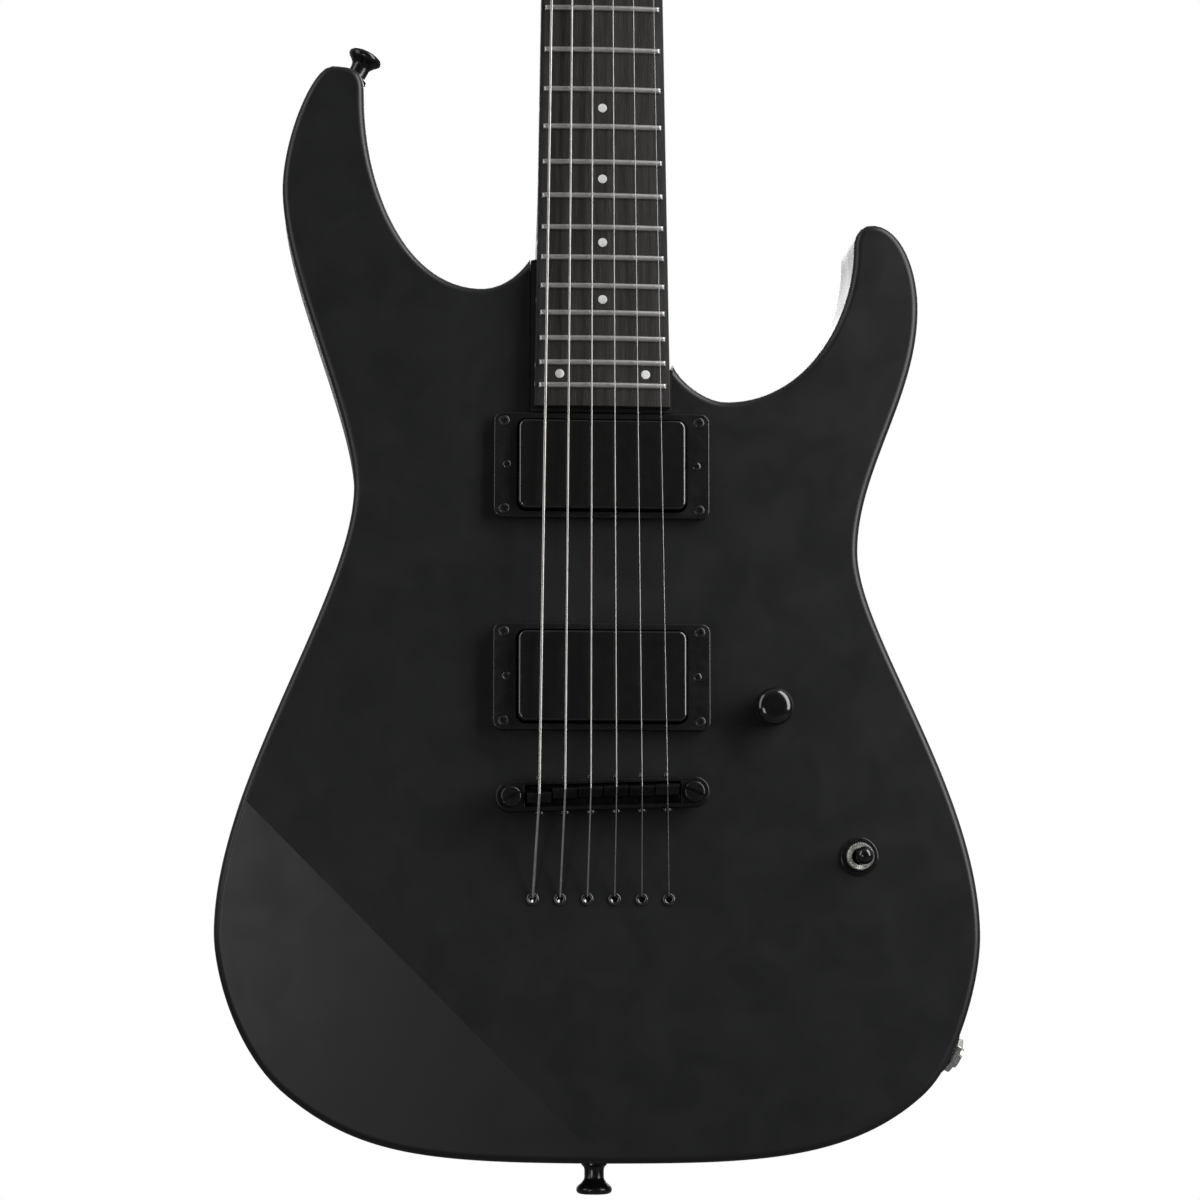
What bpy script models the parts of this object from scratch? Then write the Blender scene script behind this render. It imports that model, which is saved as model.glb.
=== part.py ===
"""Solid-body electric guitar with a set neck, 24 frets, two active pickups and six strings.

Frame: the origin lies on the flat back of the body, on the strings' centreline, at the
saddle line that the fret scale is measured from. +Z runs up the neck, the front faces -Y and
+X is the treble side. Sizes are written in millimetres and become metres as a mesh is made.
"""

import math

import bmesh
import bpy
from mathutils import Matrix, Vector

MM = 0.001
GAP = 0.3

# Body
BODY_THICKNESS = 42.0
BODY_ROUNDOVER = 3.2
BODY_CURVE_STEPS = 7
# Each anchor is x, z, heading of travel in degrees, handle length in, handle length out.
BODY_OUTLINE = (
    (5.0, -155.5, 180, 55, 72),
    (-127.0, -128.5, 141, 40, 27),
    (-157.0, -62.5, 90, 16, 60),
    (-102.0, 119.5, 90, 44, 31),
    (-133.0, 245.5, 90, 36, 22),
    (-113.0, 298.0, 0, 8, 10),
    (-99.5, 286.0, 270, 10, 37),
    (-50.0, 204.0, 0, 33, 8),
    (-28.0, 220.0, 64, 11, 0),
    (29.5, 174.0, 290, 0, 9),
    (52.0, 157.5, 0, 8, 34),
    (106.6, 224.0, 90, 30, 5.5),
    (114.5, 234.0, 0, 5, 12),
    (133.5, 199.0, 270, 17, 38),
    (107.0, 94.5, 270, 35, 34),
    (156.5, -63.0, 270, 59, 19),
    (132.5, -128.0, 222, 19, 41),
)
ARM_RIDGE_POINT = (-140.6, -13.6)
ARM_OUTWARD = (-0.7071, -0.7071)
ARM_SLOPE = math.tan(math.radians(9.5))
BELLY_POINT = (-70.0, 95.0)
BELLY_OUTWARD = (-0.94, 0.34)
BELLY_REACH = 50.0
BELLY_DEPTH = 11.0
BELLY_CUTS = 4
HEEL_CARVE_CENTRE = (0.0, 200.0)
HEEL_CARVE_REACH = 58.0
HEEL_CARVE_DEPTH = 8.5
HEEL_CARVE_CUTS = 4
CUTTER_OVERRUN = 10.0
MORTISE_LENGTH = 120.0
STRING_HOLE_RADIUS = 2.0
STUD_HOLE = (3.4, 22.0)
WIRE_CHANNEL_RADIUS = 3.0
WIRE_CHANNEL_DEPTH = 14.0
STRAP_SCREW_HOLE = (2.1, 18.0)

# Scale, strings and neck
SCALE_LENGTH = 647.7
FRETS = 24
STRINGS = 6
STRING_DIAMETERS = (1.17, 0.91, 0.66, 0.43, 0.33, 0.254)
CREST_HEIGHT = 16.0
NECK_ANGLE = 1.6
BOARD_TOP_Y = -54.2
BOARD_THICKNESS = 6.0
BOARD_RADIUS = 350.0
BOARD_END = 153.2
BOARD_HALF_WIDTH_NUT = 21.0
BOARD_HALF_WIDTH_END = 28.1
FRET_HEIGHT = 1.1
FRET_WIDTH = 2.4
FRET_INSET = 1.6
HEEL_START = 151.8
HEEL_HALF_WIDTH = 29.5
HEEL_DEPTH = 27.5
HEEL_CURVE = (205.0, 250.0)
LIP_END_BASS = 216.0
LIP_END_TREBLE = 170.0
SHAFT_DEPTH_NUT = 13.5
SHAFT_DEPTH_HEEL = 15.0
NUT_THICKNESS = 4.5
NUT_SPREAD = 34.3
NUT_HEIGHT = 8.2

NECK_ORIGIN = (0.0, BOARD_TOP_Y, 0.0)

# Headstock and tuners
HEAD_ORIGIN = (0.0, BOARD_THICKNESS + GAP, SCALE_LENGTH + NUT_THICKNESS)
HEAD_ANGLE = 13.0
HEAD_THICKNESS = 14.5
FIRST_POST = 30.0
POST_PITCH = 26.0
POST_RADIUS = 3.0
WINDING_RADIUS = 3.9
EDGE_HEADING = math.degrees(math.atan2(POST_PITCH, NUT_SPREAD / (STRINGS - 1)))
HEAD_OUTLINE = (
    (-21.0, 0.0, 90, 0, 8),
    (-34.2, 29.0, EDGE_HEADING, 15, 0),
    (3.5, 172.0, EDGE_HEADING, 0, 9),
    (17.5, 187.0, 0, 8, 6),
    (28.5, 172.0, 268, 8, 50),
    (21.0, 0.0, 270, 50, 0),
)
WORM_OFFSET = 6.2
GEARBOX_SIZE = (17.0, 21.0, 10.0)
BUSHING_RADIUS = 4.9
BUTTON_ROOT = (-5.0, HEAD_THICKNESS + GAP + GEARBOX_SIZE[2] / 2, -WORM_OFFSET)
# Each section of the button's paddle is its reach, half its width and half its thickness.
BUTTON_PADDLE = ((12.8, 4.0, 2.4), (14.4, 7.6, 3.0), (19.0, 9.2, 3.2), (24.0, 8.0, 3.0), (27.0, 4.6, 2.2))

# Bridge and string anchors
BRIDGE_Z = -7.0
BRIDGE_SLANT = 1.85
BRIDGE_LENGTH = 87.4
BRIDGE_WIDTH = 12.6
BRIDGE_BOTTOM = 4.8
BRIDGE_TOP = 11.6
POST_SPACING = 74.6
SADDLE_SLOT_LENGTH = 63.6
SADDLE_SLOT_WIDTH = 9.0
SADDLE_SPREAD = 52.0
SADDLE_WIDTH = 9.8
SADDLE_THICKNESS = 4.6
SADDLE_REST = (-0.6, 0.9, 1.1, 1.2, 1.0, 1.2)
CREST_OFFSET = 1.2
SCREW_HEIGHT = 8.7
SCREW_RADIUS = 1.1
FERRULE_Z = -49.2
FERRULE_SPREAD = 55.6

# Pickups
NECK_PICKUP_Z = 129.0
BRIDGE_PICKUP_Z = 41.3
COVER_SIZE = (69.0, 37.2)
RING_SIZE = (89.2, 43.8)
PICKUP_TOP = {"neck": 7.8, "bridge": 10.4}
RING_HEIGHT = {"neck": 4.2, "bridge": 6.2}
CAVITY_SIZE = (72.0, 40.0, 20.0)
EAR_POCKET_SIZE = (86.0, 17.0, 18.0)
FEET_SIZE = (83.0, 11.0, 1.6)
COVER_FOOT_DEPTH = 14.0

# Controls, output and battery
KNOB_AT = (70.1, 29.0)
TOGGLE_AT = (106.2, -31.5)
TOP_PLATE = 6.0
COVER_RADII = (26.0, 23.0)
COVER_LEDGE = 4.0
COVER_THICKNESS = 2.4
KNOB_BUSHING_RADIUS = 4.4
TOGGLE_BUSHING_RADIUS = 6.2
TOGGLE_PIVOT_DEPTH = 5.0
JACK_AT = (144.6, -110.8)
JACK_AXIS = (0.898, -0.44)
JACK_HOLE = (9.0, 42.0)
JACK_BORE = (3.3, 28.0)
BATTERY_AT = (22.0, -104.0)
BATTERY_SIZE = (48.5, 26.5, 17.0)
BATTERY_DEPTH = 3.0
BOX_MARGIN = (11.0, 6.0)
BOX_WALL = 1.6
FLANGE_MARGIN = (19.0, 14.0)
FLANGE_THICKNESS = 1.6
DOOR_THICKNESS = 2.0

# Strap buttons: where each stands and which way it points, as x and z
STRAP_BUTTONS = {
    "strap_button_upper": ((-104.1, 296.8), (0.42, 0.9075)),
    "strap_button_lower": ((-1.2, -155.5), (0.0, -1.0)),
}


# ---------------------------------------------------------------- scene and materials

def clear_scene():
    """Remove whatever the file opened with."""
    for old in list(bpy.data.objects):
        bpy.data.objects.remove(old, do_unlink=True)


def make_material(name, colour, roughness, metallic=0.0):
    """A Principled material of one colour."""
    material = bpy.data.materials.new(name)
    material.use_nodes = True
    shader = material.node_tree.nodes["Principled BSDF"]
    shader.inputs["Base Color"].default_value = (*colour, 1.0)
    shader.inputs["Roughness"].default_value = roughness
    shader.inputs["Metallic"].default_value = metallic
    return material


def make_materials():
    """All finishes of the guitar."""
    return {
        "satin_black": make_material("satin_black", (0.016, 0.017, 0.018), 0.45),
        "rosewood": make_material("rosewood", (0.028, 0.022, 0.019), 0.55),
        "black_nut": make_material("black_nut", (0.02, 0.02, 0.02), 0.4),
        "black_plastic": make_material("black_plastic", (0.014, 0.014, 0.014), 0.4),
        "black_nickel": make_material("black_nickel", (0.03, 0.03, 0.032), 0.28, 1.0),
        "nickel": make_material("nickel", (0.62, 0.6, 0.57), 0.22, 1.0),
        "steel_string": make_material("steel_string", (0.6, 0.59, 0.57), 0.3, 1.0),
        "battery_case": make_material("battery_case", (0.09, 0.1, 0.12), 0.4),
    }


# ---------------------------------------------------------------- drawing helpers

def make_empty(name, location, rotation=(0.0, 0.0, 0.0), parent=None):
    """A frame that pieces are placed in, at millimetres and degrees in its parent."""
    empty = bpy.data.objects.new(name, None)
    bpy.context.scene.collection.objects.link(empty)
    empty.parent = parent
    empty.location = Vector(location) * MM
    empty.rotation_euler = [math.radians(angle) for angle in rotation]
    return empty


def make_object(name, bm, material=None, location=(0.0, 0.0, 0.0), rotation=(0.0, 0.0, 0.0),
                parent=None, smooth=False):
    """Turn a mesh drawn in millimetres into a named object in metres."""
    bmesh.ops.scale(bm, vec=(MM, MM, MM), verts=bm.verts)
    bmesh.ops.recalc_face_normals(bm, faces=bm.faces)
    mesh = bpy.data.meshes.new(name)
    bm.to_mesh(mesh)
    bm.free()
    if smooth:
        mesh.shade_smooth()
        mesh.set_sharp_from_angle(angle=math.radians(35))
    made = bpy.data.objects.new(name, mesh)
    bpy.context.scene.collection.objects.link(made)
    made.parent = parent
    made.location = Vector(location) * MM
    made.rotation_euler = [math.radians(angle) for angle in rotation]
    if material:
        mesh.materials.append(material)
    return made


def boolean(target, tool, operation="DIFFERENCE"):
    """Cut a tool out of an object, or join it on, and keep the tool as a hidden guide."""
    modifier = target.modifiers.new(f"{operation.lower()}_{tool.name}", "BOOLEAN")
    modifier.object = tool
    modifier.operation = operation
    modifier.solver = "EXACT"
    tool.hide_render = True
    tool.display_type = "WIRE"


def add_prism(bm, points, low, high):
    """A straight prism along Y between two depths, over an outline in X and Z."""
    face = bm.faces.new([bm.verts.new((x, low, z)) for x, z in points])
    made = bmesh.ops.extrude_face_region(bm, geom=[face])
    top = [item for item in made["geom"] if isinstance(item, bmesh.types.BMVert)]
    bmesh.ops.translate(bm, vec=(0.0, high - low, 0.0), verts=top)
    return top


def add_box(bm, size, centre):
    """A box by its size and centre."""
    place = Matrix.Translation(centre) @ Matrix.Diagonal((*size, 1.0))
    return bmesh.ops.create_cube(bm, size=1.0, matrix=place)["verts"]


def add_turned(bm, profile, segments, axis=(0.0, 0.0, 1.0), origin=(0.0, 0.0, 0.0)):
    """A turned solid. The profile lists radius and height from one end to the other."""
    turn = Vector((0.0, 0.0, 1.0)).rotation_difference(Vector(axis)).to_matrix().to_4x4()
    place = Matrix.Translation(origin) @ turn
    rings = []
    for radius, height in profile:
        ring = []
        for step in range(segments):
            angle = 2 * math.pi * step / segments
            spot = Vector((radius * math.cos(angle), radius * math.sin(angle), height))
            ring.append(bm.verts.new(place @ spot))
        rings.append(ring)
    add_loft(bm, rings)


def add_loft(bm, rings):
    """Skin rings that hold the same number of points and close both ends."""
    count = len(rings[0])
    for lower, upper in zip(rings, rings[1:]):
        for step in range(count):
            after = (step + 1) % count
            bm.faces.new((lower[step], lower[after], upper[after], upper[step]))
    bm.faces.new(rings[0][::-1])
    bm.faces.new(rings[-1])


def rounded_rectangle(width, height, radius, steps=3, centre=(0.0, 0.0)):
    """Outline of a rectangle with round corners, as x and z."""
    points = []
    corners = ((1, 1, 0), (-1, 1, 90), (-1, -1, 180), (1, -1, 270))
    for side, end, start in corners:
        x = centre[0] + side * (width / 2 - radius)
        z = centre[1] + end * (height / 2 - radius)
        for step in range(steps + 1):
            angle = math.radians(start + 90 * step / steps)
            points.append((x + radius * math.cos(angle), z + radius * math.sin(angle)))
    return points


def capsule(first, second, first_radius, second_radius, steps=8):
    """Outline around two circles, as x and z."""
    a, b = Vector(first), Vector(second)
    along = (b - a).normalized()
    heading = math.atan2(along.y, along.x)
    lean = math.acos((first_radius - second_radius) / (b - a).length)
    points = []
    for centre, radius, start, end in (
        (b, second_radius, heading - lean, heading + lean),
        (a, first_radius, heading + lean, heading - lean + 2 * math.pi),
    ):
        for step in range(steps + 1):
            angle = start + (end - start) * step / steps
            points.append((centre.x + radius * math.cos(angle), centre.y + radius * math.sin(angle)))
    return points


def bezier_outline(anchors, steps):
    """Closed outline through anchors that carry a heading and a handle on each side."""
    points = []
    for here, there in zip(anchors, anchors[1:] + anchors[:1]):
        start, end = Vector(here[:2]), Vector(there[:2])
        leave, arrive = math.radians(here[2]), math.radians(there[2])
        if here[4] == 0 and there[3] == 0:
            points.append(start)
            continue
        first = start + here[4] * Vector((math.cos(leave), math.sin(leave)))
        second = end - there[3] * Vector((math.cos(arrive), math.sin(arrive)))
        for step in range(steps):
            t = step / steps
            points.append(
                (1 - t) ** 3 * start + 3 * (1 - t) ** 2 * t * first
                + 3 * (1 - t) * t * t * second + t ** 3 * end
            )
    return [(point.x, point.y) for point in points]


def smoothstep(value):
    """Ease from 0 to 1."""
    value = min(1.0, max(0.0, value))
    return value * value * (3 - 2 * value)


def rounded_path(corners, radius, steps=3):
    """A path of straight runs whose corners are small arcs."""
    points = [Vector(corners[0])]
    for before, corner, after in zip(corners, corners[1:], corners[2:]):
        corner = Vector(corner)
        back = (Vector(before) - corner).normalized()
        ahead = (Vector(after) - corner).normalized()
        half_turn = (math.pi - back.angle(ahead)) / 2
        reach = radius * math.tan(half_turn)
        for step in range(steps + 1):
            t = step / steps
            points.append(
                (1 - t) ** 2 * (corner + back * reach) + 2 * (1 - t) * t * corner
                + t * t * (corner + ahead * reach)
            )
    points.append(Vector(corners[-1]))
    return points


# ---------------------------------------------------------------- shared geometry

def spread(total, index):
    """Place of one string across a row that is this wide from the first to the last."""
    return total * (index / (STRINGS - 1) - 0.5)


def fret_place(number):
    """Distance of a fret from the saddle line."""
    return SCALE_LENGTH * 2 ** (-number / 12)


def board_half_width(u):
    """Half the fretboard's width at a distance from the saddle line."""
    share = (SCALE_LENGTH - u) / (SCALE_LENGTH - BOARD_END)
    return BOARD_HALF_WIDTH_NUT + share * (BOARD_HALF_WIDTH_END - BOARD_HALF_WIDTH_NUT)


def crown(x):
    """How far the round top of the fretboard falls away at this x."""
    return x * x / (2 * BOARD_RADIUS)


def crest_point(index):
    """Where a string crosses its saddle."""
    x = spread(SADDLE_SPREAD, index)
    along = SADDLE_REST[index] + CREST_OFFSET
    z = BRIDGE_Z + along + x * math.tan(math.radians(BRIDGE_SLANT))
    return Vector((x, -(BODY_THICKNESS + CREST_HEIGHT) + crown(x), z))


def tilted_place(origin, angle):
    """Placement of a frame that leans back by an angle in degrees."""
    return Matrix.Translation(origin) @ Matrix.Rotation(math.radians(-angle), 4, "X")


def post_place(index):
    """Tuner post in the headstock's frame, as x and height along it."""
    return spread(NUT_SPREAD, index) - WINDING_RADIUS, FIRST_POST + POST_PITCH * index


# ---------------------------------------------------------------- body

def front_carve(x, z):
    """How far the arm contour lowers the front."""
    away = (x - ARM_RIDGE_POINT[0]) * ARM_OUTWARD[0] + (z - ARM_RIDGE_POINT[1]) * ARM_OUTWARD[1]
    return max(0.0, away) * ARM_SLOPE


def back_carve(x, z):
    """How far the belly cut and the heel carve lower the back."""
    away = (x - BELLY_POINT[0]) * BELLY_OUTWARD[0] + (z - BELLY_POINT[1]) * BELLY_OUTWARD[1]
    belly = BELLY_DEPTH * smoothstep(away / BELLY_REACH)
    across = math.hypot(x - HEEL_CARVE_CENTRE[0], z - HEEL_CARVE_CENTRE[1])
    heel = HEEL_CARVE_DEPTH * smoothstep(1.25 * (1 - across / HEEL_CARVE_REACH))
    return belly + heel


def split_faces(bm, faces, point, normal):
    """Split some faces along a plane that stands square to the front."""
    geom = list({*faces, *(e for f in faces for e in f.edges), *(v for f in faces for v in f.verts)})
    bmesh.ops.bisect_plane(bm, geom=geom, dist=1e-4, plane_co=(point[0], 0.0, point[1]),
                           plane_no=(normal[0], 0.0, normal[1]))


def flat_faces(bm, side):
    """The faces of the front (-1) or the back (+1)."""
    return [face for face in bm.faces if face.calc_center_median().y * side > BODY_THICKNESS / 2 - 0.01]


def body_blank():
    """The rounded and carved slab, before its cavities are cut."""
    bm = bmesh.new()
    middle = BODY_THICKNESS / 2
    add_prism(bm, bezier_outline(BODY_OUTLINE, BODY_CURVE_STEPS), middle, -middle)
    rims = [e for e in bm.edges if abs(e.verts[0].co.y - e.verts[1].co.y) < 0.01]
    bmesh.ops.bevel(bm, geom=rims, offset=BODY_ROUNDOVER, segments=2, profile=0.5, affect="EDGES",
                    clamp_overlap=False)
    split_faces(bm, [f for f in bm.faces if f.calc_center_median().y < 0],
                ARM_RIDGE_POINT, ARM_OUTWARD)
    for cut in range(BELLY_CUTS):
        reach = BELLY_REACH * cut / BELLY_CUTS
        point = (BELLY_POINT[0] + reach * BELLY_OUTWARD[0], BELLY_POINT[1] + reach * BELLY_OUTWARD[1])
        split_faces(bm, flat_faces(bm, 1), point, BELLY_OUTWARD)
    for cut in range(HEEL_CARVE_CUTS):
        reach = HEEL_CARVE_REACH * (1 - cut / HEEL_CARVE_CUTS)
        for side in (-1, 1):
            split_faces(bm, flat_faces(bm, 1), (HEEL_CARVE_CENTRE[0] + side * reach, 0.0), (1.0, 0.0))
        split_faces(bm, flat_faces(bm, 1), (0.0, HEEL_CARVE_CENTRE[1] - reach), (0.0, 1.0))
    bmesh.ops.triangulate(bm, faces=flat_faces(bm, 1), quad_method="BEAUTY", ngon_method="BEAUTY")
    for vert in bm.verts:
        if vert.co.y < 0:
            vert.co.y += front_carve(vert.co.x, vert.co.z)
        else:
            vert.co.y -= back_carve(vert.co.x, vert.co.z)
    bmesh.ops.translate(bm, vec=(0.0, -middle, 0.0), verts=bm.verts)
    return bm


def cut_battery_bay(body):
    """The pocket that holds the battery box, and the shallow recess for its flange."""
    length, height, depth = BATTERY_SIZE
    bm = bmesh.new()
    room = (length + BOX_MARGIN[0] + 1, depth + 7 + CUTTER_OVERRUN, height + BOX_MARGIN[1] + 1)
    add_box(bm, room, (BATTERY_AT[0], (CUTTER_OVERRUN - depth - 7) / 2, BATTERY_AT[1]))
    boolean(body, make_object("cut_battery_cavity", bm))
    bm = bmesh.new()
    size = (length + FLANGE_MARGIN[0] + 1, height + FLANGE_MARGIN[1] + 1)
    recess = rounded_rectangle(*size, 4.0, 2, BATTERY_AT)
    add_prism(bm, recess, -FLANGE_THICKNESS - 2 * GAP, CUTTER_OVERRUN)
    boolean(body, make_object("cut_battery_recess", bm))


def cut_wire_channels(body, jack_end):
    """Drillings that join the jack, the battery bay, both pickups and the control cavity."""
    front_run = WIRE_CHANNEL_DEPTH - BODY_THICKNESS
    back_run = -12.0
    middle = -BODY_THICKNESS / 2
    bm = bmesh.new()
    for start, end in (
        (jack_end, Vector((TOGGLE_AT[0], middle, TOGGLE_AT[1] - 8))),
        (Vector((BATTERY_AT[0] + 26, back_run, BATTERY_AT[1] + 8)),
         Vector((TOGGLE_AT[0] - 8, back_run, TOGGLE_AT[1] - 8))),
        (Vector((20.0, front_run, BRIDGE_PICKUP_Z)), Vector((KNOB_AT[0], front_run, KNOB_AT[1]))),
        (Vector((0.0, front_run, NECK_PICKUP_Z - 10)), Vector((0.0, front_run, BRIDGE_PICKUP_Z + 10))),
    ):
        run = end - start
        add_turned(bm, ((WIRE_CHANNEL_RADIUS, 0.0), (WIRE_CHANNEL_RADIUS, run.length)), 8, run, start)
    boolean(body, make_object("cut_wire_channels", bm))


def build_body(materials, neck_frame, bridge_frame):
    """The body with its neck mortise, cavities and drillings."""
    body = make_object("body", body_blank(), materials["satin_black"])
    front = -BODY_THICKNESS
    middle = -BODY_THICKNESS / 2

    bm = bmesh.new()
    width = 2 * (HEEL_HALF_WIDTH + GAP)
    deep = BOARD_THICKNESS + HEEL_DEPTH + GAP
    low = HEEL_START - GAP
    add_box(bm, (width, deep + CUTTER_OVERRUN, MORTISE_LENGTH),
            (0.0, (deep - CUTTER_OVERRUN) / 2, low + MORTISE_LENGTH / 2))
    boolean(body, make_object("cut_neck_mortise", bm, parent=neck_frame))

    for name, z in (("neck", NECK_PICKUP_Z), ("bridge", BRIDGE_PICKUP_Z)):
        bm = bmesh.new()
        room = rounded_rectangle(*CAVITY_SIZE[:2], 3.0, 2, (0.0, z))
        add_prism(bm, room, front - CUTTER_OVERRUN, front + CAVITY_SIZE[2])
        boolean(body, make_object(f"cut_{name}_pickup", bm))
        bm = bmesh.new()
        add_box(bm, (EAR_POCKET_SIZE[0], EAR_POCKET_SIZE[2] + CUTTER_OVERRUN, EAR_POCKET_SIZE[1]),
                (0.0, front + (EAR_POCKET_SIZE[2] - CUTTER_OVERRUN) / 2, z))
        boolean(body, make_object(f"cut_{name}_pickup_ears", bm))

    bm = bmesh.new()
    outline = capsule(KNOB_AT, TOGGLE_AT, *(radius - COVER_LEDGE for radius in COVER_RADII))
    add_prism(bm, outline, front + TOP_PLATE, CUTTER_OVERRUN)
    boolean(body, make_object("cut_control_cavity", bm))
    bm = bmesh.new()
    outline = capsule(KNOB_AT, TOGGLE_AT, *(radius + GAP for radius in COVER_RADII))
    add_prism(bm, outline, -COVER_THICKNESS - 2 * GAP, CUTTER_OVERRUN)
    boolean(body, make_object("cut_cover_recess", bm))

    bm = bmesh.new()
    for place, radius in ((KNOB_AT, KNOB_BUSHING_RADIUS), (TOGGLE_AT, TOGGLE_BUSHING_RADIUS)):
        add_turned(bm, ((radius, 0.0), (radius, 2 * CUTTER_OVERRUN)), 16, (0, 1, 0),
                   (place[0], front - CUTTER_OVERRUN, place[1]))
    through = BODY_THICKNESS + 2 * CUTTER_OVERRUN
    for index in range(STRINGS):
        add_turned(bm, ((STRING_HOLE_RADIUS, 0.0), (STRING_HOLE_RADIUS, through)), 8, (0, 1, 0),
                   (spread(FERRULE_SPREAD, index), front - CUTTER_OVERRUN, FERRULE_Z))
    boolean(body, make_object("cut_round_holes", bm))

    bm = bmesh.new()
    radius, depth = STUD_HOLE
    for side in (-1, 1):
        add_turned(bm, ((radius, 0.0), (radius, CUTTER_OVERRUN + depth)), 12, (0, 1, 0),
                   (side * POST_SPACING / 2, -CUTTER_OVERRUN, 0.0))
    boolean(body, make_object("cut_bridge_studs", bm, parent=bridge_frame))

    cut_battery_bay(body)

    inward = Vector((-JACK_AXIS[0], 0.0, -JACK_AXIS[1]))
    jack_face = Vector((JACK_AT[0], middle, JACK_AT[1]))
    radius, depth = JACK_HOLE
    bm = bmesh.new()
    add_turned(bm, ((radius, 0.0), (radius, CUTTER_OVERRUN + depth)), 16, inward,
               jack_face - inward * CUTTER_OVERRUN)
    boolean(body, make_object("cut_jack_hole", bm))

    bm = bmesh.new()
    radius, depth = STRAP_SCREW_HOLE
    proud = 3.0
    for place, axis in STRAP_BUTTONS.values():
        start = Vector((place[0] + proud * axis[0], middle, place[1] + proud * axis[1]))
        add_turned(bm, ((radius, 0.0), (radius, proud + depth)), 8, (-axis[0], 0.0, -axis[1]), start)
    boolean(body, make_object("cut_strap_screws", bm))

    cut_wire_channels(body, jack_face + inward * (JACK_HOLE[1] - 6.0))
    return body


# ---------------------------------------------------------------- neck

def neck_section(u, sink=0.0):
    """One section across the neck, in the neck's frame. Sinking pulls its top and back together."""
    board = board_half_width(u)
    bass = HEEL_HALF_WIDTH if u <= LIP_END_BASS else board
    treble = HEEL_HALF_WIDTH if u <= LIP_END_TREBLE else board
    rise = smoothstep((u - HEEL_CURVE[0]) / (HEEL_CURVE[1] - HEEL_CURVE[0]))
    along = (u - HEEL_CURVE[1]) / (SCALE_LENGTH - HEEL_CURVE[1])
    shaft = SHAFT_DEPTH_HEEL + max(0.0, along) * (SHAFT_DEPTH_NUT - SHAFT_DEPTH_HEEL)
    depth = HEEL_DEPTH + rise * (shaft - HEEL_DEPTH) - 1.5 * sink
    squareness = 10.0 + rise * (2.25 - 10.0)
    top = BOARD_THICKNESS + GAP + sink
    points = []
    steps = 14
    for step in range(steps + 1):
        angle = math.pi * step / steps
        half = bass if step < steps / 2 else treble
        x = -math.copysign(abs(math.cos(angle)) ** (2 / squareness), math.cos(angle)) * half
        y = top + abs(math.sin(angle)) ** (2 / squareness) * (depth - GAP)
        if step in (0, steps):
            x, y = (-half if step == 0 else half), top
        points.append((x, y, u))
    return points


def build_neck(materials, neck_frame, head_frame):
    """Shaft, heel and headstock in one piece of wood."""
    places = [HEEL_START, LIP_END_TREBLE, LIP_END_TREBLE + 0.6, 205.0, 212.0]
    places += [LIP_END_BASS, LIP_END_BASS + 0.6, 222.0, 228.0, 234.0, 240.0, 250.0]
    end = SCALE_LENGTH + NUT_THICKNESS
    places += [350.0, 450.0, 550.0, 620.0, end]
    sections = [neck_section(u) for u in places]
    sections.append(neck_section(end + 8.0, 4.0))
    bm = bmesh.new()
    add_loft(bm, [[bm.verts.new(point) for point in section] for section in sections])
    neck = make_object("neck", bm, materials["satin_black"], parent=neck_frame, smooth=True)

    bm = bmesh.new()
    add_prism(bm, bezier_outline(HEAD_OUTLINE, 6), 0.0, HEAD_THICKNESS)
    head = make_object("join_headstock", bm, parent=head_frame)
    boolean(neck, head, "UNION")

    bm = bmesh.new()
    for index in range(STRINGS):
        x, u = post_place(index)
        add_turned(bm, ((5.2, 0.0), (5.2, HEAD_THICKNESS + 8)), 12, (0, 1, 0), (x, -4.0, u))
    boolean(neck, make_object("cut_tuner_holes", bm, parent=head_frame))
    return neck


def board_ring(u, raised):
    """Section of the fretboard, or of a fret standing on it."""
    half = board_half_width(u)
    inner = half - FRET_INSET
    steps = 8
    lift = FRET_HEIGHT if raised else 0.0
    points = [(-half, BOARD_THICKNESS, u), (-half, crown(half), u), (-inner, crown(inner), u)]
    for step in range(steps + 1):
        x = (inner - 1.0) * (2 * step / steps - 1)
        points.append((x, crown(x) - lift, u))
    points += [(inner, crown(inner), u), (half, crown(half), u), (half, BOARD_THICKNESS, u)]
    return points


def build_fretboard(materials, neck_frame):
    """The board and its frets."""
    bm = bmesh.new()
    rings = [board_ring(BOARD_END, False)]
    for number in range(FRETS, 0, -1):
        u = fret_place(number)
        rings.append(board_ring(u - FRET_WIDTH / 2, False))
        rings.append(board_ring(u - FRET_WIDTH / 4, True))
        rings.append(board_ring(u + FRET_WIDTH / 4, True))
        rings.append(board_ring(u + FRET_WIDTH / 2, False))
    rings.append(board_ring(SCALE_LENGTH - GAP, False))
    add_loft(bm, [[bm.verts.new(point) for point in ring] for ring in rings])
    return make_object("fretboard", bm, materials["rosewood"], parent=neck_frame)


def nut_point(index):
    """Where a string leaves the nut, in the neck's frame."""
    x = spread(NUT_SPREAD, index)
    return Vector((x, crown(x) - FRET_HEIGHT - 0.5 - STRING_DIAMETERS[index] / 2, SCALE_LENGTH))


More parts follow.
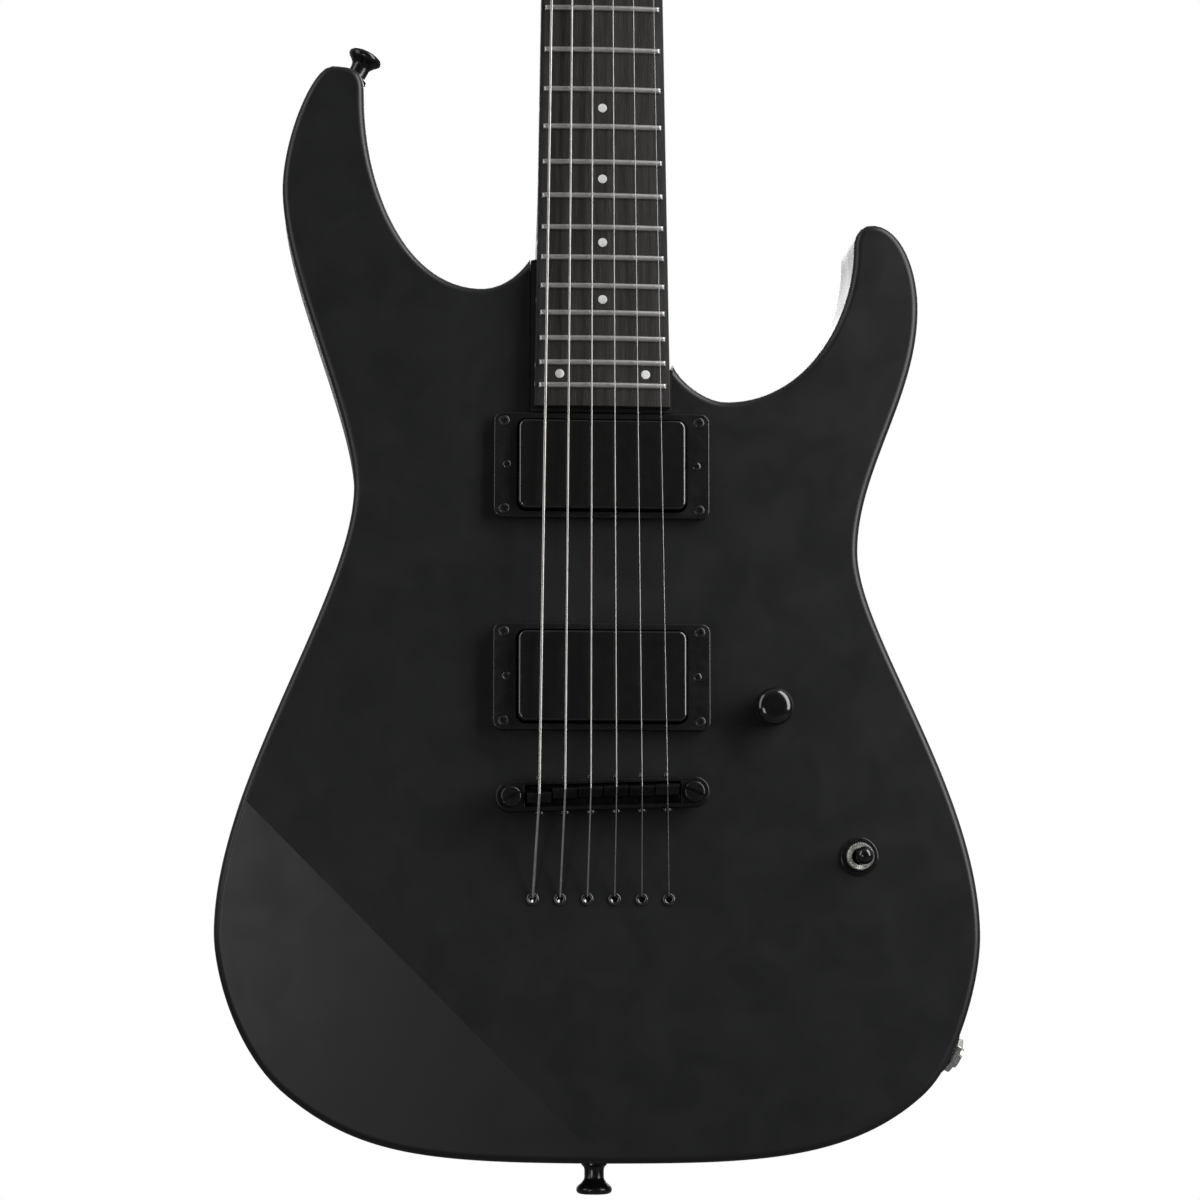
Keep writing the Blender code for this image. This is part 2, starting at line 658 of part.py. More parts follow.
def build_nut(materials, neck_frame):
    """The nut, with a slot for each string."""
    bm = bmesh.new()
    bottom = BOARD_THICKNESS
    half = BOARD_HALF_WIDTH_NUT
    steps = 6
    arch = [(half * (2 * step / steps - 1)) for step in range(steps + 1)]
    top = [(x, crown(x) + bottom - NUT_HEIGHT) for x in arch[::-1]]
    outline = [(half, bottom)] + top + [(-half, bottom)]
    rings = []
    for u in (SCALE_LENGTH, SCALE_LENGTH + NUT_THICKNESS - GAP):
        rings.append([bm.verts.new((x, y, u)) for x, y in outline])
    add_loft(bm, rings)
    nut = make_object("nut", bm, materials["black_nut"], parent=neck_frame)
    bm = bmesh.new()
    for index in range(STRINGS):
        point = nut_point(index)
        width = STRING_DIAMETERS[index] + 2 * GAP
        floor = point.y + width / 2
        add_box(bm, (width, 4.0, 12.0), (point.x, floor - 2.0, SCALE_LENGTH + NUT_THICKNESS / 2))
    boolean(nut, make_object("cut_nut_slots", bm, parent=neck_frame))
    return nut


# ---------------------------------------------------------------- headstock hardware

def build_tuner(index, materials, head_frame):
    """One tuner: a housing with its bushing, the post and the button."""
    number = index + 1
    x, u = post_place(index)
    frame = make_empty(f"tuner_frame_{number}", (x, 0.0, u), (0.0, 90 - EDGE_HEADING, 0.0), head_frame)
    dark = materials["black_nickel"]

    bm = bmesh.new()
    profile = ((6.6, -2.4), (6.6, -GAP), (BUSHING_RADIUS, -GAP), (BUSHING_RADIUS, HEAD_THICKNESS + 2))
    add_turned(bm, profile, 12, (0, 1, 0))
    housing = make_object(f"tuner_housing_{number}", bm, dark, parent=frame, smooth=True)
    bm = bmesh.new()
    back = HEAD_THICKNESS + GAP
    case = rounded_rectangle(*GEARBOX_SIZE[:2], 3.0, 2, (-0.5, -WORM_OFFSET / 2))
    add_prism(bm, case, back, back + GEARBOX_SIZE[2])
    boolean(housing, make_object(f"join_gearbox_{number}", bm, parent=frame), "UNION")
    bm = bmesh.new()
    add_turned(bm, ((3.4, 0.0), (3.4, HEAD_THICKNESS + 10.4)), 12, (0, 1, 0), (0.0, -5.0, 0.0))
    worm_seat = Vector(BUTTON_ROOT) + Vector((0.5, 0.0, 0.0))
    add_turned(bm, ((2.4, 0.0), (2.4, 8.0)), 10, (-1, 0, 0), worm_seat)
    boolean(housing, make_object(f"cut_tuner_bores_{number}", bm, parent=frame))

    bm = bmesh.new()
    wound = WINDING_RADIUS - STRING_DIAMETERS[index] / 2 - GAP
    profile = ((2.2, -17.0), (POST_RADIUS, -16.2), (POST_RADIUS, -11.4), (wound, -11.0), (wound, -7.0),
               (POST_RADIUS, -6.6), (POST_RADIUS, HEAD_THICKNESS + 4.0))
    add_turned(bm, profile, 12, (0, 1, 0))
    make_object(f"tuner_post_{number}", bm, dark, parent=frame, smooth=True)

    bm = bmesh.new()
    profile = ((2.0, 0.0), (2.0, 8.2), (3.2, 8.8), (3.2, 11.0), (2.2, 11.8), (2.2, 14.0))
    add_turned(bm, profile, 10, (-1, 0, 0))
    button = make_object(f"tuner_button_{number}", bm, dark, location=BUTTON_ROOT, parent=frame,
                         smooth=True)
    bm = bmesh.new()
    rings = []
    for reach, half_width, half_thick in BUTTON_PADDLE:
        ring = []
        for step in range(12):
            angle = 2 * math.pi * step / 12
            ring.append(bm.verts.new((-reach, half_thick * math.cos(angle), half_width * math.sin(angle))))
        rings.append(ring)
    add_loft(bm, rings)
    paddle = make_object(f"join_button_paddle_{number}", bm, location=BUTTON_ROOT, parent=frame)
    boolean(button, paddle, "UNION")


def build_headstock_trim(materials, head_frame):
    """The cover over the truss rod's adjuster."""
    bm = bmesh.new()
    outline = [(-8.0, 6.0), (8.0, 6.0)]
    for step in range(7):
        angle = math.radians(180 * step / 6)
        outline.append((5.0 * math.cos(angle), 30.0 + 5.0 * math.sin(angle)))
    outline = [(x + 5.5, z) for x, z in outline]
    add_prism(bm, outline, -1.9, -GAP)
    make_object("truss_rod_cover", bm, materials["black_plastic"], parent=head_frame)


# ---------------------------------------------------------------- strings

def build_string(index, materials):
    """One string along its whole route, from the anchor in the back to its post."""
    radius = STRING_DIAMETERS[index] / 2
    neck_place = tilted_place(NECK_ORIGIN, NECK_ANGLE)
    head_place = neck_place @ tilted_place(HEAD_ORIGIN, HEAD_ANGLE)
    anchor_x = spread(FERRULE_SPREAD, index)
    post_x, post_u = post_place(index)
    at_post = Vector((post_x + WINDING_RADIUS, -9.0, post_u))
    crest = crest_point(index)
    slot = nut_point(index)
    corners = (
        Vector((anchor_x, -3.0, FERRULE_Z)),
        Vector((anchor_x, -BODY_THICKNESS - 1.0, FERRULE_Z)),
        crest,
        neck_place @ slot,
        neck_place @ (slot + Vector((0.0, 0.1, NUT_THICKNESS - 0.5))),
        head_place @ at_post,
    )
    points = rounded_path(corners, 1.4)
    curve = bpy.data.curves.new(f"string_{index + 1}", "CURVE")
    curve.dimensions = "3D"
    curve.bevel_depth = radius * MM
    curve.bevel_resolution = 2
    curve.use_fill_caps = True
    spline = curve.splines.new("POLY")
    spline.points.add(len(points) - 1)
    for target, point in zip(spline.points, points):
        target.co = (*(point * MM), 1.0)
    curve.materials.append(materials["steel_string"])
    made = bpy.data.objects.new(f"string_{index + 1}", curve)
    bpy.context.scene.collection.objects.link(made)


# ---------------------------------------------------------------- bridge

def build_bridge(materials, bridge_frame):
    """The bar on its two studs, with the saddles and their screws."""
    dark = materials["black_nickel"]
    bm = bmesh.new()
    outline = rounded_rectangle(BRIDGE_LENGTH, BRIDGE_WIDTH, BRIDGE_WIDTH / 2 - 0.01, 5)
    add_prism(bm, outline, -BRIDGE_BOTTOM, -BRIDGE_TOP)
    bar = make_object("bridge_bar", bm, dark, parent=bridge_frame, smooth=True)
    bm = bmesh.new()
    floor = BRIDGE_BOTTOM + 1.0
    add_box(bm, (SADDLE_SLOT_LENGTH, 10.0, SADDLE_SLOT_WIDTH), (0.0, -floor - 5.0, 0.0))
    boolean(bar, make_object("cut_saddle_slot", bm, parent=bridge_frame))
    bm = bmesh.new()
    for index in range(STRINGS):
        add_turned(bm, ((SCREW_RADIUS + GAP, 0.0), (SCREW_RADIUS + GAP, 20.0)), 10, (0, 0, 1),
                   (spread(SADDLE_SPREAD, index), -SCREW_HEIGHT, -10.0))
    for side in (-1, 1):
        add_turned(bm, ((3.3, 0.0), (3.3, 12.0)), 16, (0, -1, 0), (side * POST_SPACING / 2, -3.0, 0.0))
    boolean(bar, make_object("cut_bar_holes", bm, parent=bridge_frame))

    for side, name in ((-1, "bass"), (1, "treble")):
        bm = bmesh.new()
        profile = ((2.6, -20.0), (3.0, -19.0), (3.0, 1.8), (5.4, 1.8), (5.4, 4.3), (3.0, 4.3),
                   (3.0, BRIDGE_TOP + GAP), (4.3, BRIDGE_TOP + GAP), (4.3, BRIDGE_TOP + 1.5),
                   (3.7, BRIDGE_TOP + 2.0))
        add_turned(bm, profile, 16, (0, -1, 0))
        make_object(f"bridge_stud_{name}", bm, dark, location=(side * POST_SPACING / 2, 0.0, 0.0),
                    parent=bridge_frame, smooth=True)

    for index in range(STRINGS):
        number = index + 1
        x = spread(SADDLE_SPREAD, index)
        rest = SADDLE_REST[index]
        top = CREST_HEIGHT - crown(x) - STRING_DIAMETERS[index] / 2 - GAP
        half = SADDLE_THICKNESS / 2
        shoulder = BRIDGE_TOP + 0.4
        bottom = floor + GAP
        profile = ((-half, bottom), (half, bottom), (half, shoulder), (CREST_OFFSET + 0.4, top),
                   (CREST_OFFSET - 0.4, top), (-half, shoulder))
        bm = bmesh.new()
        rings = []
        for side in (-1, 1):
            rings.append([bm.verts.new((side * SADDLE_WIDTH / 2, -y, z)) for z, y in profile])
        add_loft(bm, rings)
        saddle = make_object(f"saddle_{number}", bm, dark, location=(x, 0.0, rest), parent=bridge_frame)
        bm = bmesh.new()
        add_turned(bm, ((SCREW_RADIUS + GAP, 0.0), (SCREW_RADIUS + GAP, 12.0)), 10, (0, 0, 1),
                   (x, -SCREW_HEIGHT, rest - 6.0))
        boolean(saddle, make_object(f"cut_saddle_thread_{number}", bm, parent=bridge_frame))

        bm = bmesh.new()
        wall = BRIDGE_WIDTH / 2
        profile = ((1.9, -wall - 1.6), (2.3, -wall - 1.3), (2.3, -wall - GAP), (SCREW_RADIUS, -wall - GAP),
                   (SCREW_RADIUS, wall + 1.4), (0.7, wall + 1.8))
        add_turned(bm, profile, 10, (0, 0, 1))
        make_object(f"saddle_screw_{number}", bm, dark, location=(x, -SCREW_HEIGHT, 0.0),
                    parent=bridge_frame, smooth=True)


# ---------------------------------------------------------------- pickups

def build_pickup(name, z, materials):
    """A pickup with its mounting feet, and the ring that carries it."""
    front = -BODY_THICKNESS
    top = front - PICKUP_TOP[name]
    bottom = front + COVER_FOOT_DEPTH
    bm = bmesh.new()
    upper = add_prism(bm, rounded_rectangle(*COVER_SIZE, 3.2, 3), bottom, top)
    rim = [e for e in bm.edges if e.verts[0] in upper and e.verts[1] in upper]
    bmesh.ops.bevel(bm, geom=rim, offset=0.8, segments=2, profile=0.5, affect="EDGES")
    centre = (0.0, 0.0, z)
    black = materials["black_plastic"]
    pickup = make_object(f"{name}_pickup", bm, black, location=centre, smooth=True)
    bm = bmesh.new()
    add_prism(bm, rounded_rectangle(*FEET_SIZE[:2], 2.0, 2), bottom - 0.8, bottom - 0.8 - FEET_SIZE[2])
    boolean(pickup, make_object(f"join_{name}_pickup_feet", bm, location=centre), "UNION")

    bm = bmesh.new()
    upper = add_prism(bm, rounded_rectangle(*RING_SIZE, 3.5, 3), front - GAP, front - RING_HEIGHT[name])
    rim = [e for e in bm.edges if e.verts[0] in upper and e.verts[1] in upper]
    bmesh.ops.bevel(bm, geom=rim, offset=0.8, segments=2, profile=0.5, affect="EDGES")
    ring = make_object(f"{name}_pickup_ring", bm, black, location=centre, smooth=True)
    bm = bmesh.new()
    opening = rounded_rectangle(COVER_SIZE[0] + 1.6, COVER_SIZE[1] + 1.6, 3.8, 3)
    add_prism(bm, opening, front + 5.0, front - 15.0)
    boolean(ring, make_object(f"cut_{name}_ring_opening", bm, location=centre))


# ---------------------------------------------------------------- controls and output

def build_controls(materials):
    """Volume control, pickup selector and the cover behind them."""
    front = -BODY_THICKNESS
    dark = materials["black_nickel"]
    under = -front - TOP_PLATE - GAP
    bm = bmesh.new()
    top = BODY_THICKNESS
    profile = ((7.6, under - 9.6), (8.4, under - 9.0), (8.4, under), (4.0, under), (4.0, top + GAP),
               (6.2, top + GAP), (6.2, top + 2.2), (3.0, top + 2.2), (3.0, top + 11.0))
    add_turned(bm, profile, 16, (0, -1, 0))
    make_object("volume_pot", bm, dark, location=(KNOB_AT[0], 0.0, KNOB_AT[1]), smooth=True)

    bm = bmesh.new()
    low = top + 2.8
    add_turned(bm, ((7.4, low), (7.7, low + 0.6), (7.7, low + 11.6), (7.1, low + 13.2), (5.6, low + 14.0)),
               24, (0, -1, 0))
    knob = make_object("volume_knob", bm, materials["black_plastic"],
                       location=(KNOB_AT[0], 0.0, KNOB_AT[1]), smooth=True)
    bm = bmesh.new()
    add_turned(bm, ((3.3, low - 2), (3.3, low + 8.8)), 16, (0, -1, 0))
    boolean(knob, make_object("cut_knob_bore", bm, location=(KNOB_AT[0], 0.0, KNOB_AT[1])))

    bm = bmesh.new()
    profile = ((7.4, under - 3.0), (7.4, under), (5.8, under), (5.8, top + GAP), (7.8, top + GAP),
               (7.8, top + 1.2), (6.0, top + 1.5), (6.0, top + 3.4), (5.4, top + 4.2))
    add_turned(bm, profile, 20, (0, -1, 0))
    toggle_at = (TOGGLE_AT[0], 0.0, TOGGLE_AT[1])
    frame = make_object("toggle_switch_frame", bm, materials["nickel"], location=toggle_at, smooth=True)
    bm = bmesh.new()
    add_box(bm, (10.0, under - 9.0, 24.0), (0.0, -(under + 9.0) / 2 + 1.0, 0.0))
    boolean(frame, make_object("join_switch_leaves", bm, location=toggle_at), "UNION")
    bm = bmesh.new()
    throat = ((2.2, under - 6.0), (3.0, under - 2.0), (4.2, top + 2.0), (4.4, top + 9.0))
    add_turned(bm, throat, 16, (0, -1, 0))
    boolean(frame, make_object("cut_switch_bore", bm, location=toggle_at))

    bm = bmesh.new()
    profile = [(1.0, -2.2), (1.5, 0.0), (1.5, 9.5), (1.9, 10.5), (2.1, 16.0)]
    tip_radius = 3.65
    for step in range(1, 8):
        angle = math.radians(-90 + 24 + 156 * step / 8)
        profile.append((tip_radius * math.cos(angle), 19.5 + tip_radius * math.sin(angle)))
    add_turned(bm, profile, 16, (0, -1, 0))
    pivot = (TOGGLE_AT[0], -(top - TOGGLE_PIVOT_DEPTH), TOGGLE_AT[1])
    make_object("toggle_lever", bm, materials["black_plastic"], location=pivot, smooth=True)

    bm = bmesh.new()
    add_prism(bm, capsule(KNOB_AT, TOGGLE_AT, *COVER_RADII), -COVER_THICKNESS - GAP, -GAP)
    make_object("control_cover", bm, materials["black_plastic"])


def build_output_jack(materials):
    """The threaded jack in the side of the body."""
    bm = bmesh.new()
    profile = ((7.4, -37.0), (8.0, -36.0), (8.0, -3.0), (7.6, 1.6), (7.6, 2.6), (6.9, 2.6), (6.9, 5.2),
               (4.6, 5.2), (4.6, 6.6))
    axis = (JACK_AXIS[0], 0.0, JACK_AXIS[1])
    place = (JACK_AT[0], -BODY_THICKNESS / 2, JACK_AT[1])
    add_turned(bm, profile, 16, axis)
    jack = make_object("output_jack", bm, materials["nickel"], location=place, smooth=True)
    bm = bmesh.new()
    add_turned(bm, ((JACK_BORE[0], -JACK_BORE[1]), (JACK_BORE[0], 9.0)), 12, axis)
    boolean(jack, make_object("cut_jack_bore", bm, location=place))


def build_battery_bay(materials):
    """The battery, its box and the hinged door in the back."""
    length, height, depth = BATTERY_SIZE
    centre = (BATTERY_AT[0], 0.0, BATTERY_AT[1])
    outer = (length + BOX_MARGIN[0], height + BOX_MARGIN[1])
    inner = (outer[0] - 2 * BOX_WALL, outer[1] - 2 * BOX_WALL)
    box_depth = depth + 6.0
    room_depth = depth + 3.4
    bm = bmesh.new()
    add_box(bm, (outer[0], box_depth - GAP, outer[1]), (0.0, -(box_depth + GAP) / 2, 0.0))
    box = make_object("battery_box", bm, materials["black_plastic"], location=centre)
    bm = bmesh.new()
    flange = rounded_rectangle(length + FLANGE_MARGIN[0], height + FLANGE_MARGIN[1], 3.6, 2)
    add_prism(bm, flange, -FLANGE_THICKNESS - GAP, -GAP)
    boolean(box, make_object("join_battery_flange", bm, location=centre), "UNION")
    bm = bmesh.new()
    add_box(bm, (inner[0], 2 * room_depth, inner[1]), (0.0, 0.0, 0.0))
    boolean(box, make_object("cut_battery_room", bm, location=centre))

    middle_y = -(BATTERY_DEPTH + depth / 2)
    bm = bmesh.new()
    add_box(bm, (length, depth, height), (0.0, middle_y, 0.0))
    battery = make_object("battery", bm, materials["battery_case"], location=centre)
    bm = bmesh.new()
    for side in (-1, 1):
        add_turned(bm, ((3.4, -1.0), (3.4, 2.2)), 10, (1, 0, 0), (length / 2, middle_y, side * 6.3))
    boolean(battery, make_object("join_battery_terminals", bm, location=centre), "UNION")

    round_off = DOOR_THICKNESS / 2
    door_length = inner[0] - 2 * GAP
    door_height = inner[1] - 2 * GAP
    hinge_at = (BATTERY_AT[0], -GAP - round_off, BATTERY_AT[1] + door_height / 2 - round_off)
    outline = [(round_off, round_off - door_height), (round_off, 0.0)]
    for step in range(1, 6):
        angle = math.radians(180 * step / 6)
        outline.append((round_off * math.cos(angle), round_off * math.sin(angle)))
    outline += [(-round_off, 0.0), (-round_off, round_off - door_height)]
    bm = bmesh.new()
    rings = []
    for side in (-1, 1):
        rings.append([bm.verts.new((side * door_length / 2, y, z)) for y, z in outline])
    add_loft(bm, rings)
    make_object("battery_door", bm, materials["black_plastic"], location=hinge_at)


def build_strap_buttons(materials):
    """A button on the upper horn and one on the lower end, each with its screw."""
    profile = ((1.5, -16.0), (1.7, -15.0), (1.7, GAP), (5.2, GAP), (5.2, 1.4), (4.0, 2.4), (4.0, 7.0),
               (6.6, 9.6), (7.3, 11.2), (7.2, 12.2), (6.3, 13.2))
    for name, (place, axis) in STRAP_BUTTONS.items():
        bm = bmesh.new()
        add_turned(bm, profile, 16, (axis[0], 0.0, axis[1]))
        make_object(name, bm, materials["black_nickel"],
                    location=(place[0], -BODY_THICKNESS / 2, place[1]), smooth=True)


def main():
    """Build the whole guitar."""
    clear_scene()
    materials = make_materials()
    neck_frame = make_empty("neck_frame", NECK_ORIGIN, (-NECK_ANGLE, 0.0, 0.0))
    head_frame = make_empty("head_frame", HEAD_ORIGIN, (-HEAD_ANGLE, 0.0, 0.0), neck_frame)
    bridge_frame = make_empty("bridge_frame", (0.0, -BODY_THICKNESS, BRIDGE_Z), (0.0, -BRIDGE_SLANT, 0.0))
    build_body(materials, neck_frame, bridge_frame)
    build_neck(materials, neck_frame, head_frame)
    build_fretboard(materials, neck_frame)
    build_nut(materials, neck_frame)
    build_headstock_trim(materials, head_frame)
    for index in range(STRINGS):
        build_tuner(index, materials, head_frame)
        build_string(index, materials)
    build_bridge(materials, bridge_frame)
    build_pickup("neck", NECK_PICKUP_Z, materials)
    build_pickup("bridge", BRIDGE_PICKUP_Z, materials)
    build_controls(materials)
    build_output_jack(materials)
    build_battery_bay(materials)
    build_strap_buttons(materials)


main()
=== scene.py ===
"""Looks of a solid-body electric guitar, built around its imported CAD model.

Frame: the origin lies on the flat back of the body, on the strings' centreline, at the
saddle line. +Z runs up the neck, the front faces -Y and +X is the treble side. Sizes are in
millimetres and become metres as a piece is finished.
"""

from math import (acos, atan2, copysign, cos, degrees, dist, hypot, pi, radians, sin,
                  tan)

import bmesh
import bpy
from mathutils import Matrix, Vector


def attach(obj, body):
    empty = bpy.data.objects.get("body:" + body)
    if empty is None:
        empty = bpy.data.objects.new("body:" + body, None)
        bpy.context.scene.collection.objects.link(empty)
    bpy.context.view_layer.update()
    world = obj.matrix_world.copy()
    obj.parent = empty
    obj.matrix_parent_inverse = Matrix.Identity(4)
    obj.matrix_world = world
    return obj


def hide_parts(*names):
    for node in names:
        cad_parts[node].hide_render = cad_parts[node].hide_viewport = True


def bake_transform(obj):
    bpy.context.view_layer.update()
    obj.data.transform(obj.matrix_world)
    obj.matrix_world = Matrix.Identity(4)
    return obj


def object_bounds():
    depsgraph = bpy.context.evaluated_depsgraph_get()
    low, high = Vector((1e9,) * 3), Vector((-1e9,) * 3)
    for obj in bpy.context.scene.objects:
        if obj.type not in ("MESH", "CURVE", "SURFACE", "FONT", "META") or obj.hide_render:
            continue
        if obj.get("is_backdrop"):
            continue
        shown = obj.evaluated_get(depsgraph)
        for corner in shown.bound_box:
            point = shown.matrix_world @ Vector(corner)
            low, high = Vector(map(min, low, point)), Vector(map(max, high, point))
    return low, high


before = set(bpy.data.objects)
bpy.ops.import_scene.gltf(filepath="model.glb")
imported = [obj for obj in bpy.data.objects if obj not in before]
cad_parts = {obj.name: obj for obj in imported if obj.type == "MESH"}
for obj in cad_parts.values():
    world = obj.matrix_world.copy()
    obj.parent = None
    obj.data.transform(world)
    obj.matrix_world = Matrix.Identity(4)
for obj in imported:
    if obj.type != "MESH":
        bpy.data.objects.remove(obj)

CAD_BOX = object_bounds()
MM = 0.001
GAP = 0.3
FRONT = (0, -1, 0)
BACK = (0, 1, 0)
BUTTON_SIDE = (-1, 0, 0)

# Body
BODY_THICKNESS = 42.0
BODY_ROUNDOVER = 3.2
BODY_OUTLINE_PITCH = 3.2
# Each anchor is x, z, heading of travel in degrees, handle length in, handle length out.
BODY_OUTLINE = (
    (5.0, -155.5, 180, 55, 72),
    (-127.0, -128.5, 141, 40, 27),
    (-157.0, -62.5, 90, 16, 60),
    (-102.0, 119.5, 90, 44, 31),
    (-133.0, 245.5, 90, 36, 22),
    (-113.0, 298.0, 0, 8, 10),
    (-99.5, 286.0, 270, 10, 37),
    (-50.0, 204.0, 0, 33, 8),
    (-28.0, 220.0, 64, 11, 0),
    (29.5, 174.0, 290, 0, 9),
    (52.0, 157.5, 0, 8, 34),
    (106.6, 224.0, 90, 30, 5.5),
    (114.5, 234.0, 0, 5, 12),
    (133.5, 199.0, 270, 17, 38),
    (107.0, 94.5, 270, 35, 34),
    (156.5, -63.0, 270, 59, 19),
    (132.5, -128.0, 222, 19, 41),
)
ARM_RIDGE_POINT = (-140.6, -13.6)
ARM_OUTWARD = (-0.7071, -0.7071)
ARM_SLOPE = tan(radians(9.5))
BELLY_POINT = (-70.0, 95.0)
BELLY_OUTWARD = (-0.94, 0.34)
BELLY_REACH = 50.0
BELLY_DEPTH = 11.0
HEEL_CARVE_CENTRE = (0.0, 200.0)
HEEL_CARVE_REACH = 58.0
HEEL_CARVE_DEPTH = 8.5
CARVE_STEP = 5.0
CUTTER_OVERRUN = 10.0
MORTISE_LENGTH = 120.0

# Scale, strings and neck
SCALE_LENGTH = 647.7
FRETS = 24
STRINGS = 6
STRING_DIAMETERS = (1.17, 0.91, 0.66, 0.43, 0.33, 0.254)
WOUND_STRINGS = 3
STRING_BEND = 0.8
BEND_STEPS = 6
# The ring of a string that lies on the crest of its saddle, after the start and one whole bend
CREST_RING = 1 + (BEND_STEPS + 1) + BEND_STEPS // 2
CREST_HEIGHT = 16.0
NECK_ANGLE = 1.6
BOARD_TOP_Y = -54.2
BOARD_THICKNESS = 6.0
BOARD_RADIUS = 350.0
BOARD_END = 153.2
BOARD_HALF_WIDTH_NUT = 21.0
BOARD_HALF_WIDTH_END = 28.1
FRET_HEIGHT = 1.1
FRET_WIDTH = 2.4
FRET_INSET = 1.5
# Inset from the fret's end, and share of its height
FRET_END = ((0.0, 0.12), (0.3, 0.62), (0.75, 1.0))
DOT_FRETS = (3, 5, 7, 9, 15, 17, 19, 21)
DOT_RADIUS = 1.85
DOUBLE_DOT_FRETS = {12: 15.6, 24: 17.8}
HEEL_START = 151.8
HEEL_HALF_WIDTH = 29.5
HEEL_DEPTH = 27.5
HEEL_CURVE = (205.0, 250.0)
LIP_END_BASS = 216.0
LIP_END_TREBLE = 170.0
SHAFT_DEPTH_NUT = 13.5
SHAFT_DEPTH_HEEL = 15.0
SHAFT_SQUARENESS = 2.25
HEEL_SQUARENESS = 10.0
HEAD_SQUARENESS = 16.0
NUT_THICKNESS = 4.5
NUT_SPREAD = 34.3
NUT_HEIGHT = 8.2

# Headstock and tuners
HEAD_START = SCALE_LENGTH + NUT_THICKNESS
HEAD_ANGLE = 13.0
HEAD_THICKNESS = 14.5
FIRST_POST = 30.0
POST_PITCH = 26.0
POST_RADIUS = 3.0
WINDING_RADIUS = 3.9
WINDING_TURNS = 3
POST_STRING_Y = -9.0
TRUSS_X = 5.5
HEAD_TIP_STATIONS = (164, 168, 171, 174, 176.5, 179, 181, 183, 184.5, 185.7, 186.5, 186.9)
EDGE_HEADING = degrees(atan2(POST_PITCH, NUT_SPREAD / (STRINGS - 1)))
HEAD_OUTLINE = (
    (-21.0, 0.0, 90, 0, 8),
    (-34.2, 29.0, EDGE_HEADING, 15, 0),
    (3.5, 172.0, EDGE_HEADING, 0, 9),
    (17.5, 187.0, 0, 8, 6),
    (28.5, 172.0, 268, 8, 50),
    (21.0, 0.0, 270, 50, 0),
)
WORM_OFFSET = 6.2
GEARBOX_SIZE = (17.0, 21.0, 10.0)
BUTTON_ROOT = (-5.0, HEAD_THICKNESS + GAP + GEARBOX_SIZE[2] / 2, -WORM_OFFSET)
BUTTON_SHAFT = ((2.0, 0.0), (2.0, 8.2), (2.6, 8.5), (3.2, 9.0), (3.2, 10.9), (2.7, 11.6),
                (2.2, 12.0), (2.2, 14.0))
# Each section of the paddle is its reach, half its width and half its thickness.
BUTTON_PADDLE = ((12.8, 4.0, 2.4), (14.4, 7.6, 3.0), (19.0, 9.2, 3.2), (24.0, 8.0, 3.0),
                 (27.0, 4.6, 2.2))

# Bridge and string anchors
BRIDGE_Z = -7.0
BRIDGE_SLANT = 1.85
BRIDGE_LENGTH = 87.4
BRIDGE_WIDTH = 12.6
BRIDGE_BOTTOM = 4.8
BRIDGE_TOP = 11.6
POST_SPACING = 74.6
SADDLE_SLOT_LENGTH = 63.6
SADDLE_SLOT_WIDTH = 9.0
SADDLE_SPREAD = 52.0
SADDLE_WIDTH = 9.8
SADDLE_THICKNESS = 4.6
SADDLE_REST = (-0.6, 0.9, 1.1, 1.2, 1.0, 1.2)
CREST_OFFSET = 1.2
SCREW_HEIGHT = 8.7
SCREW_RADIUS = 1.1
THREAD_PITCH = 0.7
FERRULE_Z = -49.2
FERRULE_SPREAD = 55.6
FERRULE_BORE = 1.35
# Profiles of turned pieces are radii and heights.
FERRULE_PROFILE = (
    (FERRULE_BORE, -4.0), (FERRULE_BORE, 0.55), (1.65, 0.8), (2.1, 0.85), (2.45, 0.7),
    (2.65, 0.35), (2.7, 0.0), (2.0, 0.0), (1.95, -4.0),
)
BACK_FERRULE_PROFILE = (
    (2.5, -4.6), (2.5, -0.7), (2.8, -0.3), (3.9, -0.3), (4.1, -0.55), (4.1, -4.6),
)
BALL_END_PROFILE = ((1.3, -2.0), (1.9, -1.6), (2.0, -1.0), (2.0, 0.4), (1.9, 0.9), (1.3, 1.3))
BRIDGE_POST_PROFILE = (
    (2.6, -20.0), (3.0, -19.0), (3.0, 1.6), (5.2, 1.8), (5.4, 2.1), (5.4, 4.0), (5.2, 4.3),
    (3.0, 4.3), (3.0, BRIDGE_TOP + 0.1), (4.0, BRIDGE_TOP + 0.1), (4.25, BRIDGE_TOP + 0.4),
    (4.3, BRIDGE_TOP + 1.2), (4.0, BRIDGE_TOP + 1.7), (3.5, BRIDGE_TOP + 1.95),
)

# Pickups
PICKUP_Z = {"neck": 129.0, "bridge": 41.3}
COVER_SIZE = (69.0, 37.2)
RING_SIZE = (89.2, 43.8)
PICKUP_TOP = {"neck": 7.8, "bridge": 10.4}
RING_HEIGHT = {"neck": 4.2, "bridge": 6.2}
CAVITY_SIZE = (72.0, 40.0, 20.0)
EAR_POCKET_SIZE = (86.0, 17.0, 18.0)
RING_SCREWS = (40.3, 18.3)
HEIGHT_SCREW_X = 39.2

